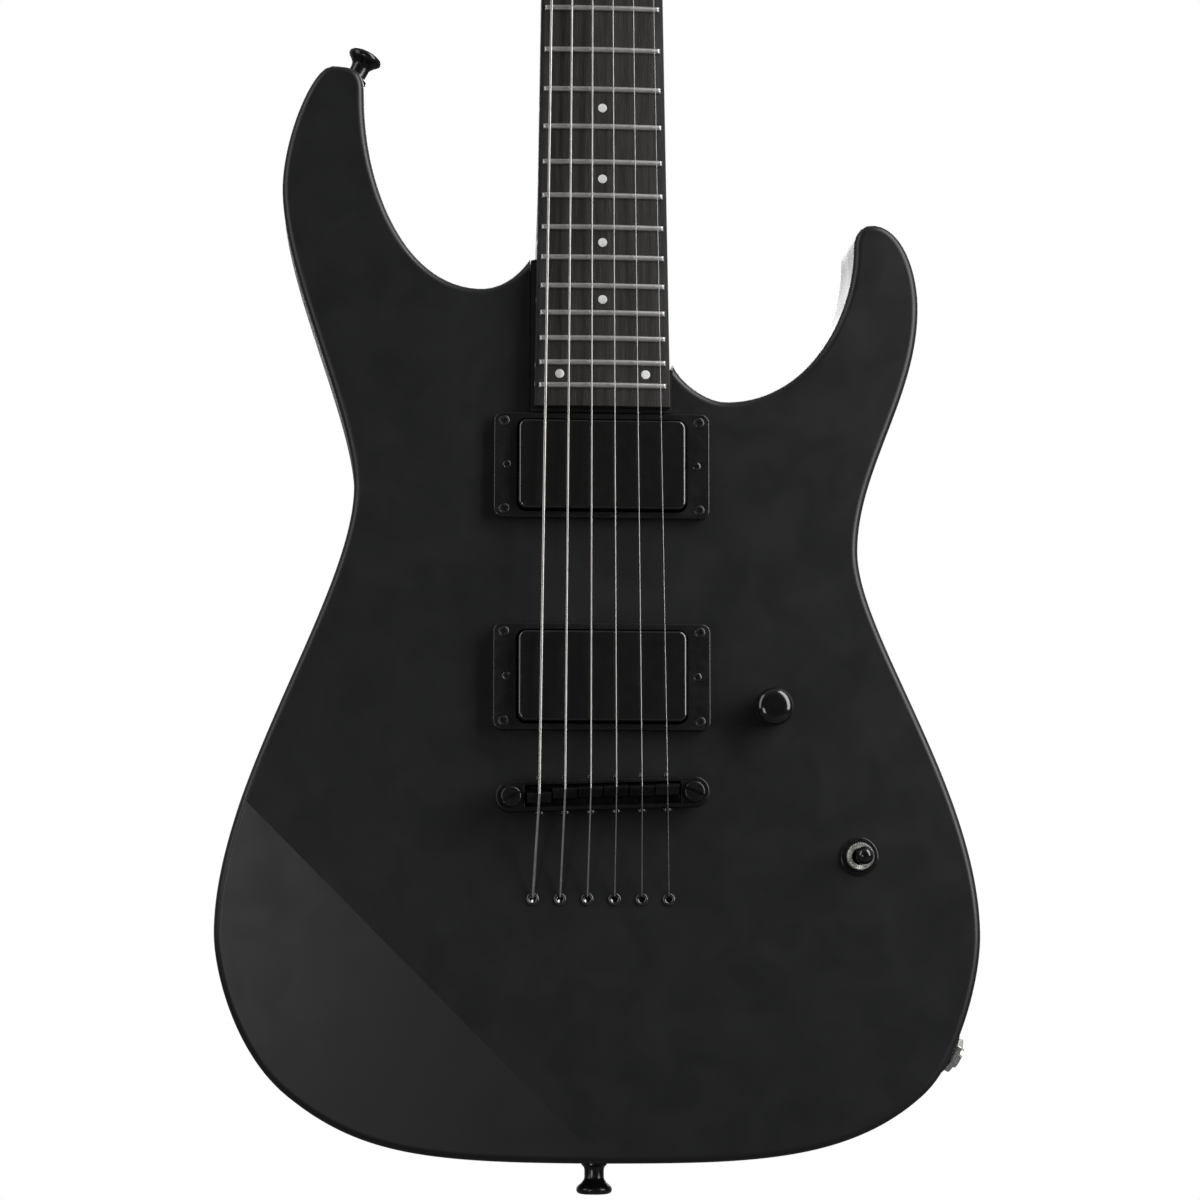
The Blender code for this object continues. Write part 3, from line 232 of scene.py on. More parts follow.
# Controls, output and battery
KNOB_AT = (70.1, 29.0)
KNOB_RADIUS = 7.75
KNOB_EDGE = 5.2
TOGGLE_AT = (106.2, -31.5)
KNURLS = 36
TOP_PLATE = 6.0
COVER_RADII = (26.0, 23.0)
COVER_LEDGE = 4.0
COVER_THICKNESS = 2.4
COVER_SCREW_ANGLES = ((60, 150, 215), (335, 245))
JACK_AT = (144.6, -110.8)
JACK_AXIS = (0.898, -0.44)
JACK_PROFILE = (
    (3.3, -28.0), (3.3, 6.3), (3.6, 6.6), (4.4, 6.6), (4.6, 6.4), (4.6, -3.0), (7.8, -3.0),
    (7.8, -36.0), (4.0, -36.8), (4.0, -30.0), (3.3, -29.0),
)
JACK_COLLAR_PROFILE = (
    (4.7, -2.6), (8.7, -2.6), (8.7, 0.4), (9.6, 0.6), (9.8, 1.2), (9.4, 2.0), (8.4, 2.4),
    (4.7, 2.5),
)
BATTERY_AT = (22.0, -104.0)
BATTERY_SIZE = (48.5, 26.5, 17.0)
BOX_MARGIN = (11.0, 6.0)
BOX_WALL = 1.6
FLANGE_MARGIN = (19.0, 14.0)
FLANGE_THICKNESS = 1.6
DOOR_THICKNESS = 2.0
STRAP_BUTTONS = {
    "strap_button_upper": ((-104.1, 296.8), (0.42, 0.9075)),
    "strap_button_lower": ((-1.2, -155.5), (0.0, -1.0)),
}
STRAP_BUTTON_PROFILE = (
    (2.6, 11.6), (2.6, GAP), (5.2, GAP), (5.25, 0.8), (5.2, 1.4), (4.6, 1.9), (4.15, 2.6),
    (4.0, 3.6), (4.0, 6.4), (4.3, 7.4), (5.2, 8.6), (6.5, 9.7), (7.15, 10.5), (7.3, 11.2),
    (7.25, 11.9), (6.9, 12.5), (6.2, 13.0), (5.2, 13.2), (4.3, 13.1), (3.6, 12.6),
)

# Camera, stage and light
CAMERA_PLACE = (-89.94, -1309.4, -80.68)
CAMERA_TURNS = ((6.936, "X"), (-4.007, "Z"), (-0.55, "Y"), (90.0, "X"))
CAMERA_LENS = 93.25
SENSOR_WIDTH = 36.0
FLOOR_RADIUS = 2.4
FLOOR_Z = -0.46
WORLD_LOW = 0.06
WORLD_HIGH = 0.4
WHITE = (1.0, 1.0, 1.0, 1.0)
UP_AND_BEHIND = (0.0, 0.6, 0.8)
MIDDLE = (0.0, -0.03, 0.08)
# Each softbox is its name, place, target, width and height, all in metres, and watts.
SOFTBOXES = (
    ("softbox_right", (0.88, -0.62, 0.60), MIDDLE, (0.5, 1.6), 26.0),
    ("softbox_left", (-1.30, -0.62, 0.66), MIDDLE, (0.6, 1.6), 11.0),
    ("softbox_low_left", (-0.62, -1.00, -0.22), (-0.13, -0.04, -0.03), (0.30, 0.34), 2.2),
    ("softbox_back", (0.3, 1.5, 0.9), MIDDLE, (1.4, 1.0), 22.0),
)


# ---------------------------------------------------------------- camera, stage and light

def add_object(name, data):
    """A new object in the scene."""
    made = bpy.data.objects.new(name, data)
    bpy.context.scene.collection.objects.link(made)
    return made


def rotation(angle, axis):
    """Turn by an angle in degrees about X, Y or Z."""
    return Matrix.Rotation(radians(angle), 4, axis)


def make_camera():
    """The camera stands low on the left of the strings and looks slightly up."""
    camera = add_object("camera", bpy.data.cameras.new("camera"))
    camera.data.sensor_width = SENSOR_WIDTH
    camera.data.lens = CAMERA_LENS
    turn = Matrix.Identity(4)
    for angle, axis in CAMERA_TURNS:
        turn = turn @ rotation(angle, axis)
    camera.matrix_world = Matrix.Translation(Vector(CAMERA_PLACE) * MM) @ turn
    bpy.context.scene.camera = camera


def make_light(name, place, target, size, power):
    """A rectangular softbox that faces a target."""
    light = bpy.data.lights.new(name, "AREA")
    light.shape = "RECTANGLE"
    light.size, light.size_y = size
    light.energy = power
    made = add_object(name, light)
    made.location = place
    made.rotation_mode = "QUATERNION"
    made.rotation_quaternion = (Vector(target) - made.location).to_track_quat("-Z", "Y")


def wire(tree, node, inputs):
    """Set or link the inputs of a node, which is made first if only its type is given."""
    if isinstance(node, str):
        node = tree.nodes.new(node)
    for key, value in inputs.items():
        if isinstance(value, bpy.types.NodeSocket):
            tree.links.new(value, node.inputs[key])
        else:
            node.inputs[key].default_value = value
    return node


def camera_ray(tree):
    """Output that is 1 where the camera looks straight at a surface or the world."""
    return tree.nodes.new("ShaderNodeLightPath").outputs["Is Camera Ray"]


def make_world():
    """White paper to look at, which lights the guitar from above and behind only."""
    world = bpy.data.worlds.new("studio")
    bpy.context.scene.world = world
    world.use_nodes = True
    tree = world.node_tree
    way = tree.nodes.new("ShaderNodeTexCoord").outputs["Generated"]
    lean = wire(tree, "ShaderNodeVectorMath", {0: way, 1: UP_AND_BEHIND})
    lean.operation = "DOT_PRODUCT"
    glow = wire(tree, "ShaderNodeMapRange", {
        "Value": lean.outputs["Value"], "From Min": -0.1, "From Max": 0.9,
        "To Min": WORLD_LOW, "To Max": WORLD_HIGH})
    glow.interpolation_type = "SMOOTHSTEP"
    strength = wire(tree, "ShaderNodeMix", {
        "Factor": camera_ray(tree), "A": glow.outputs["Result"], "B": 1.0})
    wire(tree, tree.nodes["Background"], {"Color": WHITE, "Strength": strength.outputs["Result"]})


def make_stage():
    """Floor, lights and colour management. The floor looks pale but throws little light back."""
    mesh = bpy.data.meshes.new("floor")
    bm = bmesh.new()
    bmesh.ops.create_circle(bm, cap_ends=True, segments=128, radius=FLOOR_RADIUS)
    bm.to_mesh(mesh)
    floor = add_object("floor", mesh)
    floor.location = (0.0, 0.0, FLOOR_Z)
    pale = bpy.data.materials.new("pale_floor")
    pale.use_nodes = True
    tree = pale.node_tree
    seen = wire(tree, tree.nodes["Principled BSDF"], {
        "Base Color": (0.9, 0.9, 0.9, 1.0), "Roughness": 0.8,
        "Emission Color": WHITE, "Emission Strength": 0.45})
    shaded = wire(tree, "ShaderNodeBsdfDiffuse", {"Color": (0.12, 0.12, 0.12, 1.0)})
    choice = wire(tree, "ShaderNodeMixShader", {
        "Fac": camera_ray(tree), 1: shaded.outputs["BSDF"], 2: seen.outputs["BSDF"]})
    wire(tree, tree.nodes["Material Output"], {"Surface": choice.outputs["Shader"]})
    mesh.materials.append(pale)
    floor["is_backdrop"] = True
    make_world()
    for softbox in SOFTBOXES:
        make_light(*softbox)
    bpy.context.scene.view_settings.view_transform = "Standard"


# ---------------------------------------------------------------- finishes

class Finish:
    """A node material that is built up step by step, in the piece's own metres."""

    def __init__(self, name, colour, roughness, metallic=0.0, gloss=0.5):
        self.material = bpy.data.materials.new(name)
        self.material.use_nodes = True
        self.tree = self.material.node_tree
        self.shader = wire(self.tree, self.tree.nodes["Principled BSDF"], {
            "Base Color": (*colour, 1.0), "Roughness": roughness, "Metallic": metallic,
            "Specular IOR Level": gloss})
        self.coords = self.tree.nodes.new("ShaderNodeTexCoord").outputs["Object"]
        self.normal = None

    def noise(self, scale, detail=3.0, stretch=(1.0, 1.0, 1.0), distortion=0.0):
        """Noise with this many cells to a metre."""
        mapping = wire(self.tree, "ShaderNodeMapping", {"Vector": self.coords, "Scale": stretch})
        return wire(self.tree, "ShaderNodeTexNoise", {
            "Vector": mapping.outputs["Vector"], "Scale": scale, "Detail": detail,
            "Distortion": distortion}).outputs["Fac"]

    def spread(self, value, low, high, start=0.3, end=0.7):
        """Stretch a value to a new range."""
        return wire(self.tree, "ShaderNodeMapRange", {
            "Value": value, "From Min": start, "From Max": end,
            "To Min": low, "To Max": high}).outputs["Result"]

    def colour(self, value, *stops):
        """Colour by a value through a ramp of (position, colour) stops."""
        node = wire(self.tree, "ShaderNodeValToRGB", {"Fac": value})
        ramp = node.color_ramp
        while len(ramp.elements) < len(stops):
            ramp.elements.new(0.5)
        for element, (position, colour) in zip(ramp.elements, stops):
            element.position = position
            element.color = (*colour, 1.0)
        wire(self.tree, self.shader, {"Base Color": node.outputs["Color"]})

    def roughness(self, value, low, high):
        """Roughness that follows a value."""
        wire(self.tree, self.shader, {"Roughness": self.spread(value, low, high)})

    def bump(self, value, depth, strength):
        """Relief of a depth in metres, on top of any before it."""
        node = wire(self.tree, "ShaderNodeBump", {
            "Height": value, "Strength": strength, "Distance": depth})
        if self.normal:
            wire(self.tree, node, {"Normal": self.normal})
        self.normal = node.outputs["Normal"]
        wire(self.tree, self.shader, {"Normal": self.normal})


def lacquer(name, roughness):
    """Satin black lacquer: faint clouding, soft polish marks and a fine orange peel."""
    look = Finish(name, (0.0062, 0.0065, 0.0070), roughness, gloss=0.34)
    look.colour(look.noise(22.0, 4.0), (0.3, (0.0058, 0.0061, 0.0065)),
                (0.7, (0.0067, 0.0070, 0.0076)))
    marks = look.noise(55.0, 6.0, distortion=0.6)
    look.roughness(marks, roughness - 0.035, roughness + 0.045)
    look.bump(look.noise(620.0, 2.0), 0.00003, 0.35)
    look.bump(look.noise(5200.0, 1.0), 0.000006, 0.4)
    return look.material


def board_wood():
    """Dark open-grained wood with streaks and pores along the neck."""
    look = Finish("dark_fretboard_wood", (0.03, 0.026, 0.024), 0.5, gloss=0.29)
    streaks = look.noise(420.0, 6.0, (1.0, 1.0, 0.035), 0.4)
    look.colour(streaks, (0.30, (0.0060, 0.0050, 0.0044)), (0.48, (0.0125, 0.0108, 0.0098)),
                (0.60, (0.0190, 0.0165, 0.0150)), (0.72, (0.0100, 0.0085, 0.0076)))
    pores = look.noise(2600.0, 2.0, (1.0, 1.0, 0.05))
    look.roughness(pores, 0.62, 0.46)
    look.bump(look.spread(pores, 0.0, 1.0, 0.34, 0.44), 0.00005, 0.55)
    look.bump(streaks, 0.00004, 0.3)
    return look.material


def bright_metal(name, colour, roughness, grain=(1.0, 1.0, 1.0)):
    """Plated or drawn metal with fine brushing along its long way."""
    look = Finish(name, colour, roughness, 1.0)
    fine = look.noise(1800.0, 4.0, grain)
    dull = [channel * 0.93 for channel in colour]
    look.colour(look.noise(160.0, 3.0), (0.35, dull), (0.65, colour))
    look.roughness(fine, roughness - 0.05, roughness + 0.08)
    look.bump(fine, 0.000006, 0.15)
    return look.material


def wound_string():
    """Nickel-wound string: ribs of the wrap wire across the string."""
    look = Finish("wound_string_steel", (0.42, 0.41, 0.395), 0.3, 1.0)
    look.roughness(look.noise(900.0, 3.0), 0.34, 0.44)
    look.colour(look.noise(240.0, 2.0), (0.35, (0.30, 0.292, 0.28)), (0.65, (0.33, 0.322, 0.31)))
    ribs = wire(look.tree, "ShaderNodeTexWave", {"Vector": look.coords, "Scale": 1050.0})
    ribs.bands_direction = "Z"
    look.bump(ribs.outputs["Fac"], 0.00004, 0.16)
    return look.material


def dark_metal(name, shade, roughness):
    """Black plating with tiny polish swirls."""
    look = Finish(name, (shade, shade, shade * 1.05), roughness, 0.85)
    look.colour(look.noise(130.0, 3.0), (0.35, [shade * 0.85] * 3), (0.65, [shade * 1.2] * 3))
    swirls = look.noise(700.0, 5.0, distortion=0.8)
    look.roughness(swirls, roughness - 0.06, roughness + 0.08)
    look.bump(look.noise(2400.0, 2.0), 0.000006, 0.3)
    return look.material


def moulded(name, colour, roughness, grain, gloss=0.5):
    """Moulded plastic with a fine eggshell texture and faint rub marks."""
    look = Finish(name, colour, roughness, gloss=gloss)
    lighter = [channel * 1.35 for channel in colour]
    look.colour(look.noise(70.0, 4.0), (0.3, colour), (0.7, lighter))
    rubs = look.noise(180.0, 6.0, distortion=0.5)
    look.roughness(rubs, roughness - 0.05, roughness + 0.07)
    look.bump(look.noise(grain, 2.0), 0.000012, 0.4)
    return look.material


def gloss_plastic():
    """Polished black plastic of the knob and the switch tip."""
    look = Finish("gloss_black_plastic", (0.004, 0.004, 0.0042), 0.12)
    look.roughness(look.noise(260.0, 6.0, distortion=0.6), 0.08, 0.17)
    look.bump(look.noise(1400.0, 2.0), 0.000004, 0.2)
    return look.material


def pearl_plastic():
    """Pale dot inlay with a soft cloud in it."""
    pale = (0.66, 0.66, 0.63)
    look = Finish("pale_dot_plastic", pale, 0.3)
    look.colour(look.noise(900.0, 4.0, distortion=1.5), (0.3, (0.50, 0.50, 0.48)), (0.7, pale))
    look.roughness(look.noise(1500.0), 0.24, 0.36)
    look.bump(look.noise(3000.0, 1.0), 0.000004, 0.3)
    return look.material


def battery_wrap():
    """Plain printed metal can, with a lighter band towards its terminal end."""
    look = Finish("battery_wrap", (0.05, 0.055, 0.065), 0.35, 0.4)
    split = wire(look.tree, "ShaderNodeSeparateXYZ", {"Vector": look.coords})
    seam = (BATTERY_AT[0] + BATTERY_SIZE[0] * 0.22) * MM
    step = look.spread(split.outputs["X"], 0.0, 1.0, seam - 0.0001, seam + 0.0001)
    look.colour(step, (0.0, (0.045, 0.05, 0.06)), (1.0, (0.34, 0.22, 0.09)))
    look.roughness(look.noise(400.0, 4.0), 0.28, 0.42)
    look.bump(look.noise(1200.0, 2.0), 0.00001, 0.2)
    return look.material


def make_finishes():
    """Each finish by name, with a slot name beside its material."""
    black, bright, strings = "black_hardware", "nickel_hardware", "string_steel"
    along_neck, drawn = (1.0, 1.0, 6.0), (1.0, 1.0, 0.02)
    return {
        "body": (lacquer("satin_body_lacquer", 0.40), "body_lacquer"),
        "neck": (lacquer("satin_neck_lacquer", 0.42), "neck_lacquer"),
        "board": (board_wood(), "fretboard_wood"),
        "fret": (bright_metal("fret_nickel_silver", (0.52, 0.51, 0.50), 0.40, along_neck), bright),
        "nut": (moulded("black_nut_plastic", (0.016, 0.016, 0.016), 0.36, 2600.0), "nut_plastic"),
        "plain": (bright_metal("plain_string_steel", (0.34, 0.335, 0.325), 0.36, drawn), strings),
        "wound": (wound_string(), strings),
        "black": (dark_metal("black_plated_metal", 0.032, 0.22), black),
        "black_satin": (dark_metal("black_satin_metal", 0.018, 0.34), black),
        "ferrule": (dark_metal("dark_nickel", 0.06, 0.24), black),
        "screw": (dark_metal("black_screw_metal", 0.05, 0.3), black),
        "nickel": (bright_metal("bright_nickel", (0.74, 0.72, 0.68), 0.27), bright),
        "steel": (bright_metal("plated_steel", (0.30, 0.30, 0.30), 0.28), None),
        "cover": (moulded("pickup_cover_plastic", (0.0036, 0.0034, 0.0032), 0.17, 3600.0, 0.75),
                  "pickup_cover_plastic"),
        "ring": (moulded("pickup_ring_plastic", (0.0042, 0.0042, 0.0044), 0.27, 3000.0),
                 "pickup_ring_plastic"),
        "knob": (gloss_plastic(), "black_knob_plastic"),
        "plate": (moulded("black_cover_plastic", (0.014, 0.014, 0.014), 0.48, 1500.0),
                  "black_cover_plastic"),
        "dot": (pearl_plastic(), None),
        "battery": (battery_wrap(), None),
    }


# ---------------------------------------------------------------- drawing helpers
# Each add_ function draws into the mesh it is given, and returns it.

def circle(count):
    """Cosine and sine of evenly spaced angles."""
    return [(cos(2 * pi * step / count), sin(2 * pi * step / count)) for step in range(count)]


def arc(centre, radius, start, end, steps):
    """Points about a centre from one angle in degrees to another."""
    angles = [radians(start + (end - start) * step / steps) for step in range(steps + 1)]
    return [(centre[0] + radius * cos(angle), centre[1] + radius * sin(angle)) for angle in angles]


def quarter(steps):
    """Cosine and sine over a quarter turn."""
    return arc((0.0, 0.0), 1.0, 0, 90, steps)


def evenly(start, step, count):
    """Evenly spaced numbers."""
    return [start + step * index for index in range(count)]


def signed_power(value, power):
    """A power that keeps the sign."""
    return copysign(abs(value) ** power, value)


def smoothstep(value):
    """Ease from 0 to 1."""
    value = min(1.0, max(0.0, value))
    return value * value * (3 - 2 * value)


def point_along(axis, origin):
    """Placement that turns +Z to an axis at an origin."""
    turn = Vector((0.0, 0.0, 1.0)).rotation_difference(Vector(axis)).to_matrix().to_4x4()
    return Matrix.Translation(origin) @ turn


def add_prism(bm, points, low, high):
    """A straight prism along Y between two depths, over an outline in X and Z."""
    face = bm.faces.new([bm.verts.new((x, low, z)) for x, z in points])
    made = bmesh.ops.extrude_face_region(bm, geom=[face])
    top = [item for item in made["geom"] if isinstance(item, bmesh.types.BMVert)]
    bmesh.ops.translate(bm, vec=(0.0, high - low, 0.0), verts=top)
    return bm


def add_box(bm, size, centre):
    """A box by its size and centre."""
    place = Matrix.Translation(centre) @ Matrix.Diagonal((*size, 1.0))
    bmesh.ops.create_cube(bm, size=1.0, matrix=place)
    return bm


def add_loft(bm, rings, closed=False):
    """Skin rings of equally many points, and cap the ends or join them in a loop."""
    rings = [[bm.verts.new(point) for point in ring] for ring in rings]
    count = len(rings[0])
    pairs = list(zip(rings, rings[1:] + rings[:1]))
    for lower, upper in pairs if closed else pairs[:-1]:
        for step in range(count):
            after = (step + 1) % count
            bm.faces.new((lower[step], lower[after], upper[after], upper[step]))
    if not closed:
        bm.faces.new(rings[0][::-1])
        bm.faces.new(rings[-1])
    return bm


def add_turned(bm, profile, segments, axis=(0, 0, 1), origin=(0.0, 0.0, 0.0), hollow=False):
    """A turned solid from radii and heights, or a turned ring if the profile is a loop."""
    place, corners = point_along(axis, origin), circle(segments)
    return add_loft(bm, [[place @ Vector((radius * c, radius * s, height)) for c, s in corners]
                         for radius, height in profile], hollow)


def add_holes(bm, radius, depth, axis, origins, segments=24):
    """Round holes of one size that start at their origins, to cut with."""
    for origin in origins:
        add_turned(bm, ((radius, 0.0), (radius, depth)), segments, axis, origin)
    return bm


def add_cushioned(bm, outline_at, low, high, edge, steps=5):
    """A plate between two depths with a rounded top edge. The outline is given by its inset."""
    way = copysign(1.0, high - low)
    rings = [[(x, low, z) for x, z in outline_at(0.0)]]
    for across, up in quarter(steps):
        depth = high - way * edge * (1 - up)
        rings.append([(x, depth, z) for x, z in outline_at(edge * (1 - across))])
    return add_loft(bm, rings)


def tube_rings(points, radius, segments):
    """Rings of points around a path."""
    rings = []
    side = Vector((1.0, 0.0, 0.0))
    for index, point in enumerate(points):
        ahead, behind = points[min(index + 1, len(points) - 1)], points[max(index - 1, 0)]
        along = (ahead - behind).normalized()
        side = (side - along * side.dot(along)).normalized()
        up = along.cross(side)
        rings.append([point + radius * (c * side + s * up) for c, s in circle(segments)])
    return rings


def rounded_rectangle(width, height, radius, steps=8, centre=(0.0, 0.0)):
    """Outline of a rectangle with round corners, as x and z."""
    points = []
    for side, end, start in ((1, 1, 0), (-1, 1, 90), (-1, -1, 180), (1, -1, 270)):
        corner = (centre[0] + side * (width / 2 - radius), centre[1] + end * (height / 2 - radius))
        points += arc(corner, radius, start, start + 90, steps)
    return points


def inset_rectangle(width, height, radius, steps=8, centre=(0.0, 0.0)):
    """A rounded rectangle as a function of its inset."""
    return lambda inset: rounded_rectangle(width - 2 * inset, height - 2 * inset, radius - inset,
                                           steps, centre)


def capsule(first, second, first_radius, second_radius, steps=24):
    """Outline around two circles, as x and z."""
    a, b = Vector(first), Vector(second)
    heading = degrees(atan2(b.y - a.y, b.x - a.x))
    lean = degrees(acos((first_radius - second_radius) / (b - a).length))
    return (arc(b, second_radius, heading - lean, heading + lean, steps)
            + arc(a, first_radius, heading + lean, heading - lean + 360, steps))


def bezier_outline(anchors, steps):
    """Closed outline through anchors that carry a heading and a handle on each side."""
    points = []
    for here, there in zip(anchors, anchors[1:] + anchors[:1]):
        start, end = Vector(here[:2]), Vector(there[:2])
        leave, arrive = radians(here[2]), radians(there[2])
        if here[4] == 0 and there[3] == 0:
            points.append(start)
            continue
        first = start + here[4] * Vector((cos(leave), sin(leave)))
        second = end - there[3] * Vector((cos(arrive), sin(arrive)))
        for t in (step / steps for step in range(steps)):
            points.append((1 - t) ** 3 * start + 3 * (1 - t) ** 2 * t * first
                          + 3 * (1 - t) * t * t * second + t ** 3 * end)
    return [(point.x, point.y) for point in points]


def even_outline(points, pitch):
    """The same outline with evenly spaced points, which a roundover can't fold at a tight curve."""
    pairs = list(zip(points, points[1:] + points[:1]))
    total = sum(dist(here, there) for here, there in pairs)
    gap = total / round(total / pitch)
    result, owed = [], 0.0
    for here, there in pairs:
        length = dist(here, there)
        while owed < length - 1e-6:
            share = owed / length
            result.append(tuple(a + share * (b - a) for a, b in zip(here, there)))
            owed += gap
        owed -= length
    return result[:round(total / gap)]


def rounded_path(corners, radius, steps=BEND_STEPS):
    """A path of straight runs whose corners are small arcs."""
    points = [Vector(corners[0])]
    for before, corner, after in zip(corners, corners[1:], corners[2:]):
        back = (before - corner).normalized()
        ahead = (after - corner).normalized()
        reach = radius * tan((pi - back.angle(ahead)) / 2)
        for t in (step / steps for step in range(steps + 1)):
            points.append((1 - t) ** 2 * (corner + back * reach) + 2 * (1 - t) * t * corner
                          + t * t * (corner + ahead * reach))
    points.append(Vector(corners[-1]))
    return points


def boolean(bm, tool, operation="DIFFERENCE"):
    """Cut one mesh with another, or join them, and return the result."""
    pair = []
    for name, source in (("target", bm), ("tool", tool)):
        bmesh.ops.recalc_face_normals(source, faces=source.faces)
        mesh = bpy.data.meshes.new(name)
        source.to_mesh(mesh)
        source.free()
        pair.append(add_object(name, mesh))
    modifier = pair[0].modifiers.new("boolean", "BOOLEAN")
    modifier.object = pair[1]
    modifier.operation = operation
    modifier.solver = "EXACT"
    evaluated = pair[0].evaluated_get(bpy.context.evaluated_depsgraph_get())
    result = bmesh.new()
    result.from_mesh(evaluated.to_mesh())
    evaluated.to_mesh_clear()
    for made in pair:
        mesh = made.data
        bpy.data.objects.remove(made)
        bpy.data.meshes.remove(mesh)
    return result


def stamp(bm, stencil, place=Matrix.Identity(4)):
    """Add a placed copy of one mesh to another, and return it."""
    mesh = bpy.data.meshes.new("stencil")
    copy = stencil.copy()
    copy.transform(place)
    copy.to_mesh(mesh)
    bm.from_mesh(mesh)
    bpy.data.meshes.remove(mesh)
    return bm


def finish_piece(name, bm, finish, node=None, body="guitar", place=None, bevel=0.0, segments=2,
                 crease=38.0, bend=None):
    """Make a piece from a mesh in millimetres. It stands for a CAD node, if one is named."""
    material, slot = FINISHES[finish]
    if place is not None:
        bm.transform(place)
    bmesh.ops.scale(bm, vec=(MM, MM, MM), verts=bm.verts)
    bmesh.ops.recalc_face_normals(bm, faces=bm.faces)
    mesh = bpy.data.meshes.new(name)
    bm.to_mesh(mesh)
    bm.free()
    mesh.materials.append(material)
    mesh.shade_smooth()
    piece = add_object(name, mesh)
    if bevel:
        edge = piece.modifiers.new("edges", "BEVEL")
        edge.width = bevel * MM
        edge.segments = segments
        edge.limit_method = "ANGLE"
        edge.angle_limit = radians(crease)
    else:
        mesh.set_sharp_from_angle(angle=radians(crease))
    weighted = piece.modifiers.new("normals", "WEIGHTED_NORMAL")
    weighted.keep_sharp = True
    if bend:
        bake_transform(piece)
    else:
        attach(piece, body)
    if node:
        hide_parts(node)
    return piece


# ---------------------------------------------------------------- shared places

def tilted_place(origin, angle):
    """Placement of a frame that leans back by an angle in degrees."""
    return Matrix.Translation(origin) @ rotation(-angle, "X")


NECK_PLACE = tilted_place((0.0, BOARD_TOP_Y, 0.0), NECK_ANGLE)
HEAD_PLACE = NECK_PLACE @ tilted_place((0.0, BOARD_THICKNESS + GAP, HEAD_START), HEAD_ANGLE)
BRIDGE_PLACE = (Matrix.Translation((0.0, -BODY_THICKNESS, BRIDGE_Z))
                @ rotation(-BRIDGE_SLANT, "Y"))
HEAD_POINTS = bezier_outline(HEAD_OUTLINE, 24)


def spread(total, index):
    """Place of one string across a row that is this wide from the first to the last."""
    return total * (index / (STRINGS - 1) - 0.5)


def fret_place(number):
    """Distance of a fret from the saddle line."""
    return SCALE_LENGTH * 2 ** (-number / 12)


def dot_place(number):
    """Distance of a fret's dot from the saddle line."""
    return (fret_place(number) + fret_place(number - 1)) / 2


def board_half_width(u):
    """Half the fretboard's width at a distance from the saddle line."""
    share = (SCALE_LENGTH - u) / (SCALE_LENGTH - BOARD_END)
    return BOARD_HALF_WIDTH_NUT + share * (BOARD_HALF_WIDTH_END - BOARD_HALF_WIDTH_NUT)


def crown(x):
    """How far the round top of the fretboard falls away at this x."""
    return x * x / (2 * BOARD_RADIUS)


def crest_point(index):
    """Where a string crosses its saddle."""
    x = spread(SADDLE_SPREAD, index)
    along = SADDLE_REST[index] + CREST_OFFSET
    z = BRIDGE_Z + along + x * tan(radians(BRIDGE_SLANT))
    return Vector((x, -(BODY_THICKNESS + CREST_HEIGHT) + crown(x), z))


def nut_point(index):
    """Where a string leaves the nut, in the neck's frame."""
    x = spread(NUT_SPREAD, index)
    return Vector((x, crown(x) - FRET_HEIGHT - 0.5 - STRING_DIAMETERS[index] / 2, SCALE_LENGTH))


def post_place(index):
    """Tuner post in the headstock's frame, as x and height along it."""
    return spread(NUT_SPREAD, index) - WINDING_RADIUS, FIRST_POST + POST_PITCH * index


def tuner_place(index):
    """Placement of one tuner, with Y along its post and -X out to its button."""
    x, u = post_place(index)
    return HEAD_PLACE @ Matrix.Translation((x, 0.0, u)) @ rotation(90 - EDGE_HEADING, "Y")


def string_finish(index):
    """Finish of a string, by its winding."""
    return "wound" if index < WOUND_STRINGS else "plain"


# ---------------------------------------------------------------- screws

def screw_head(radius, dome):
    """A screw head with a cross, its axis on +Z and its rim at 0."""
    profile = [(radius * 0.6, -dome * 2.2), (radius * 0.96, -0.12), (radius, 0.0)]
    profile += [(radius * across ** 0.7, dome * up) for across, up in quarter(5)[1:-1]]
    length, width = radius * 1.1, radius * 0.3
    cross = [add_box(bmesh.new(), (x, y, dome * 3.6), (0.0, 0.0, dome))
             for x, y in ((length, width), (width, length))]
    return boolean(add_turned(bmesh.new(), profile, 28), boolean(*cross, "UNION"))


def add_screws(name, places, axis, radius, dome, finish="black", turn=33.0):
    """One piece that holds a set of screw heads."""
    head = screw_head(radius, dome)
    bm = bmesh.new()
    for index, place in enumerate(places):
        stamp(bm, head, point_along(axis, place) @ rotation(turn + 47 * index, "Z"))
    finish_piece(name, bm, finish)


# ---------------------------------------------------------------- body

def beyond(x, z, point, outward):
    """How far a place lies past a line through a point."""
    return (x - point[0]) * outward[0] + (z - point[1]) * outward[1]


def front_carve(x, z):
    """How far the arm contour lowers the front."""
    return max(0.0, beyond(x, z, ARM_RIDGE_POINT, ARM_OUTWARD)) * ARM_SLOPE


def back_carve(x, z):
    """How far the belly cut and the heel carve lower the back."""
    belly = BELLY_DEPTH * smoothstep(beyond(x, z, BELLY_POINT, BELLY_OUTWARD) / BELLY_REACH)
    across = hypot(x - HEEL_CARVE_CENTRE[0], z - HEEL_CARVE_CENTRE[1])
    heel = HEEL_CARVE_DEPTH * smoothstep(1.25 * (1 - across / HEEL_CARVE_REACH))
    return belly + heel


def split_faces(bm, faces, point, normal):
    """Split some faces along a plane that stands square to the front."""
    geom = list({*faces, *(edge for face in faces for edge in face.edges),
                 *(vert for face in faces for vert in face.verts)})
    bmesh.ops.bisect_plane(bm, geom=geom, dist=1e-4, plane_co=(point[0], 0.0, point[1]),
                           plane_no=(normal[0], 0.0, normal[1]))


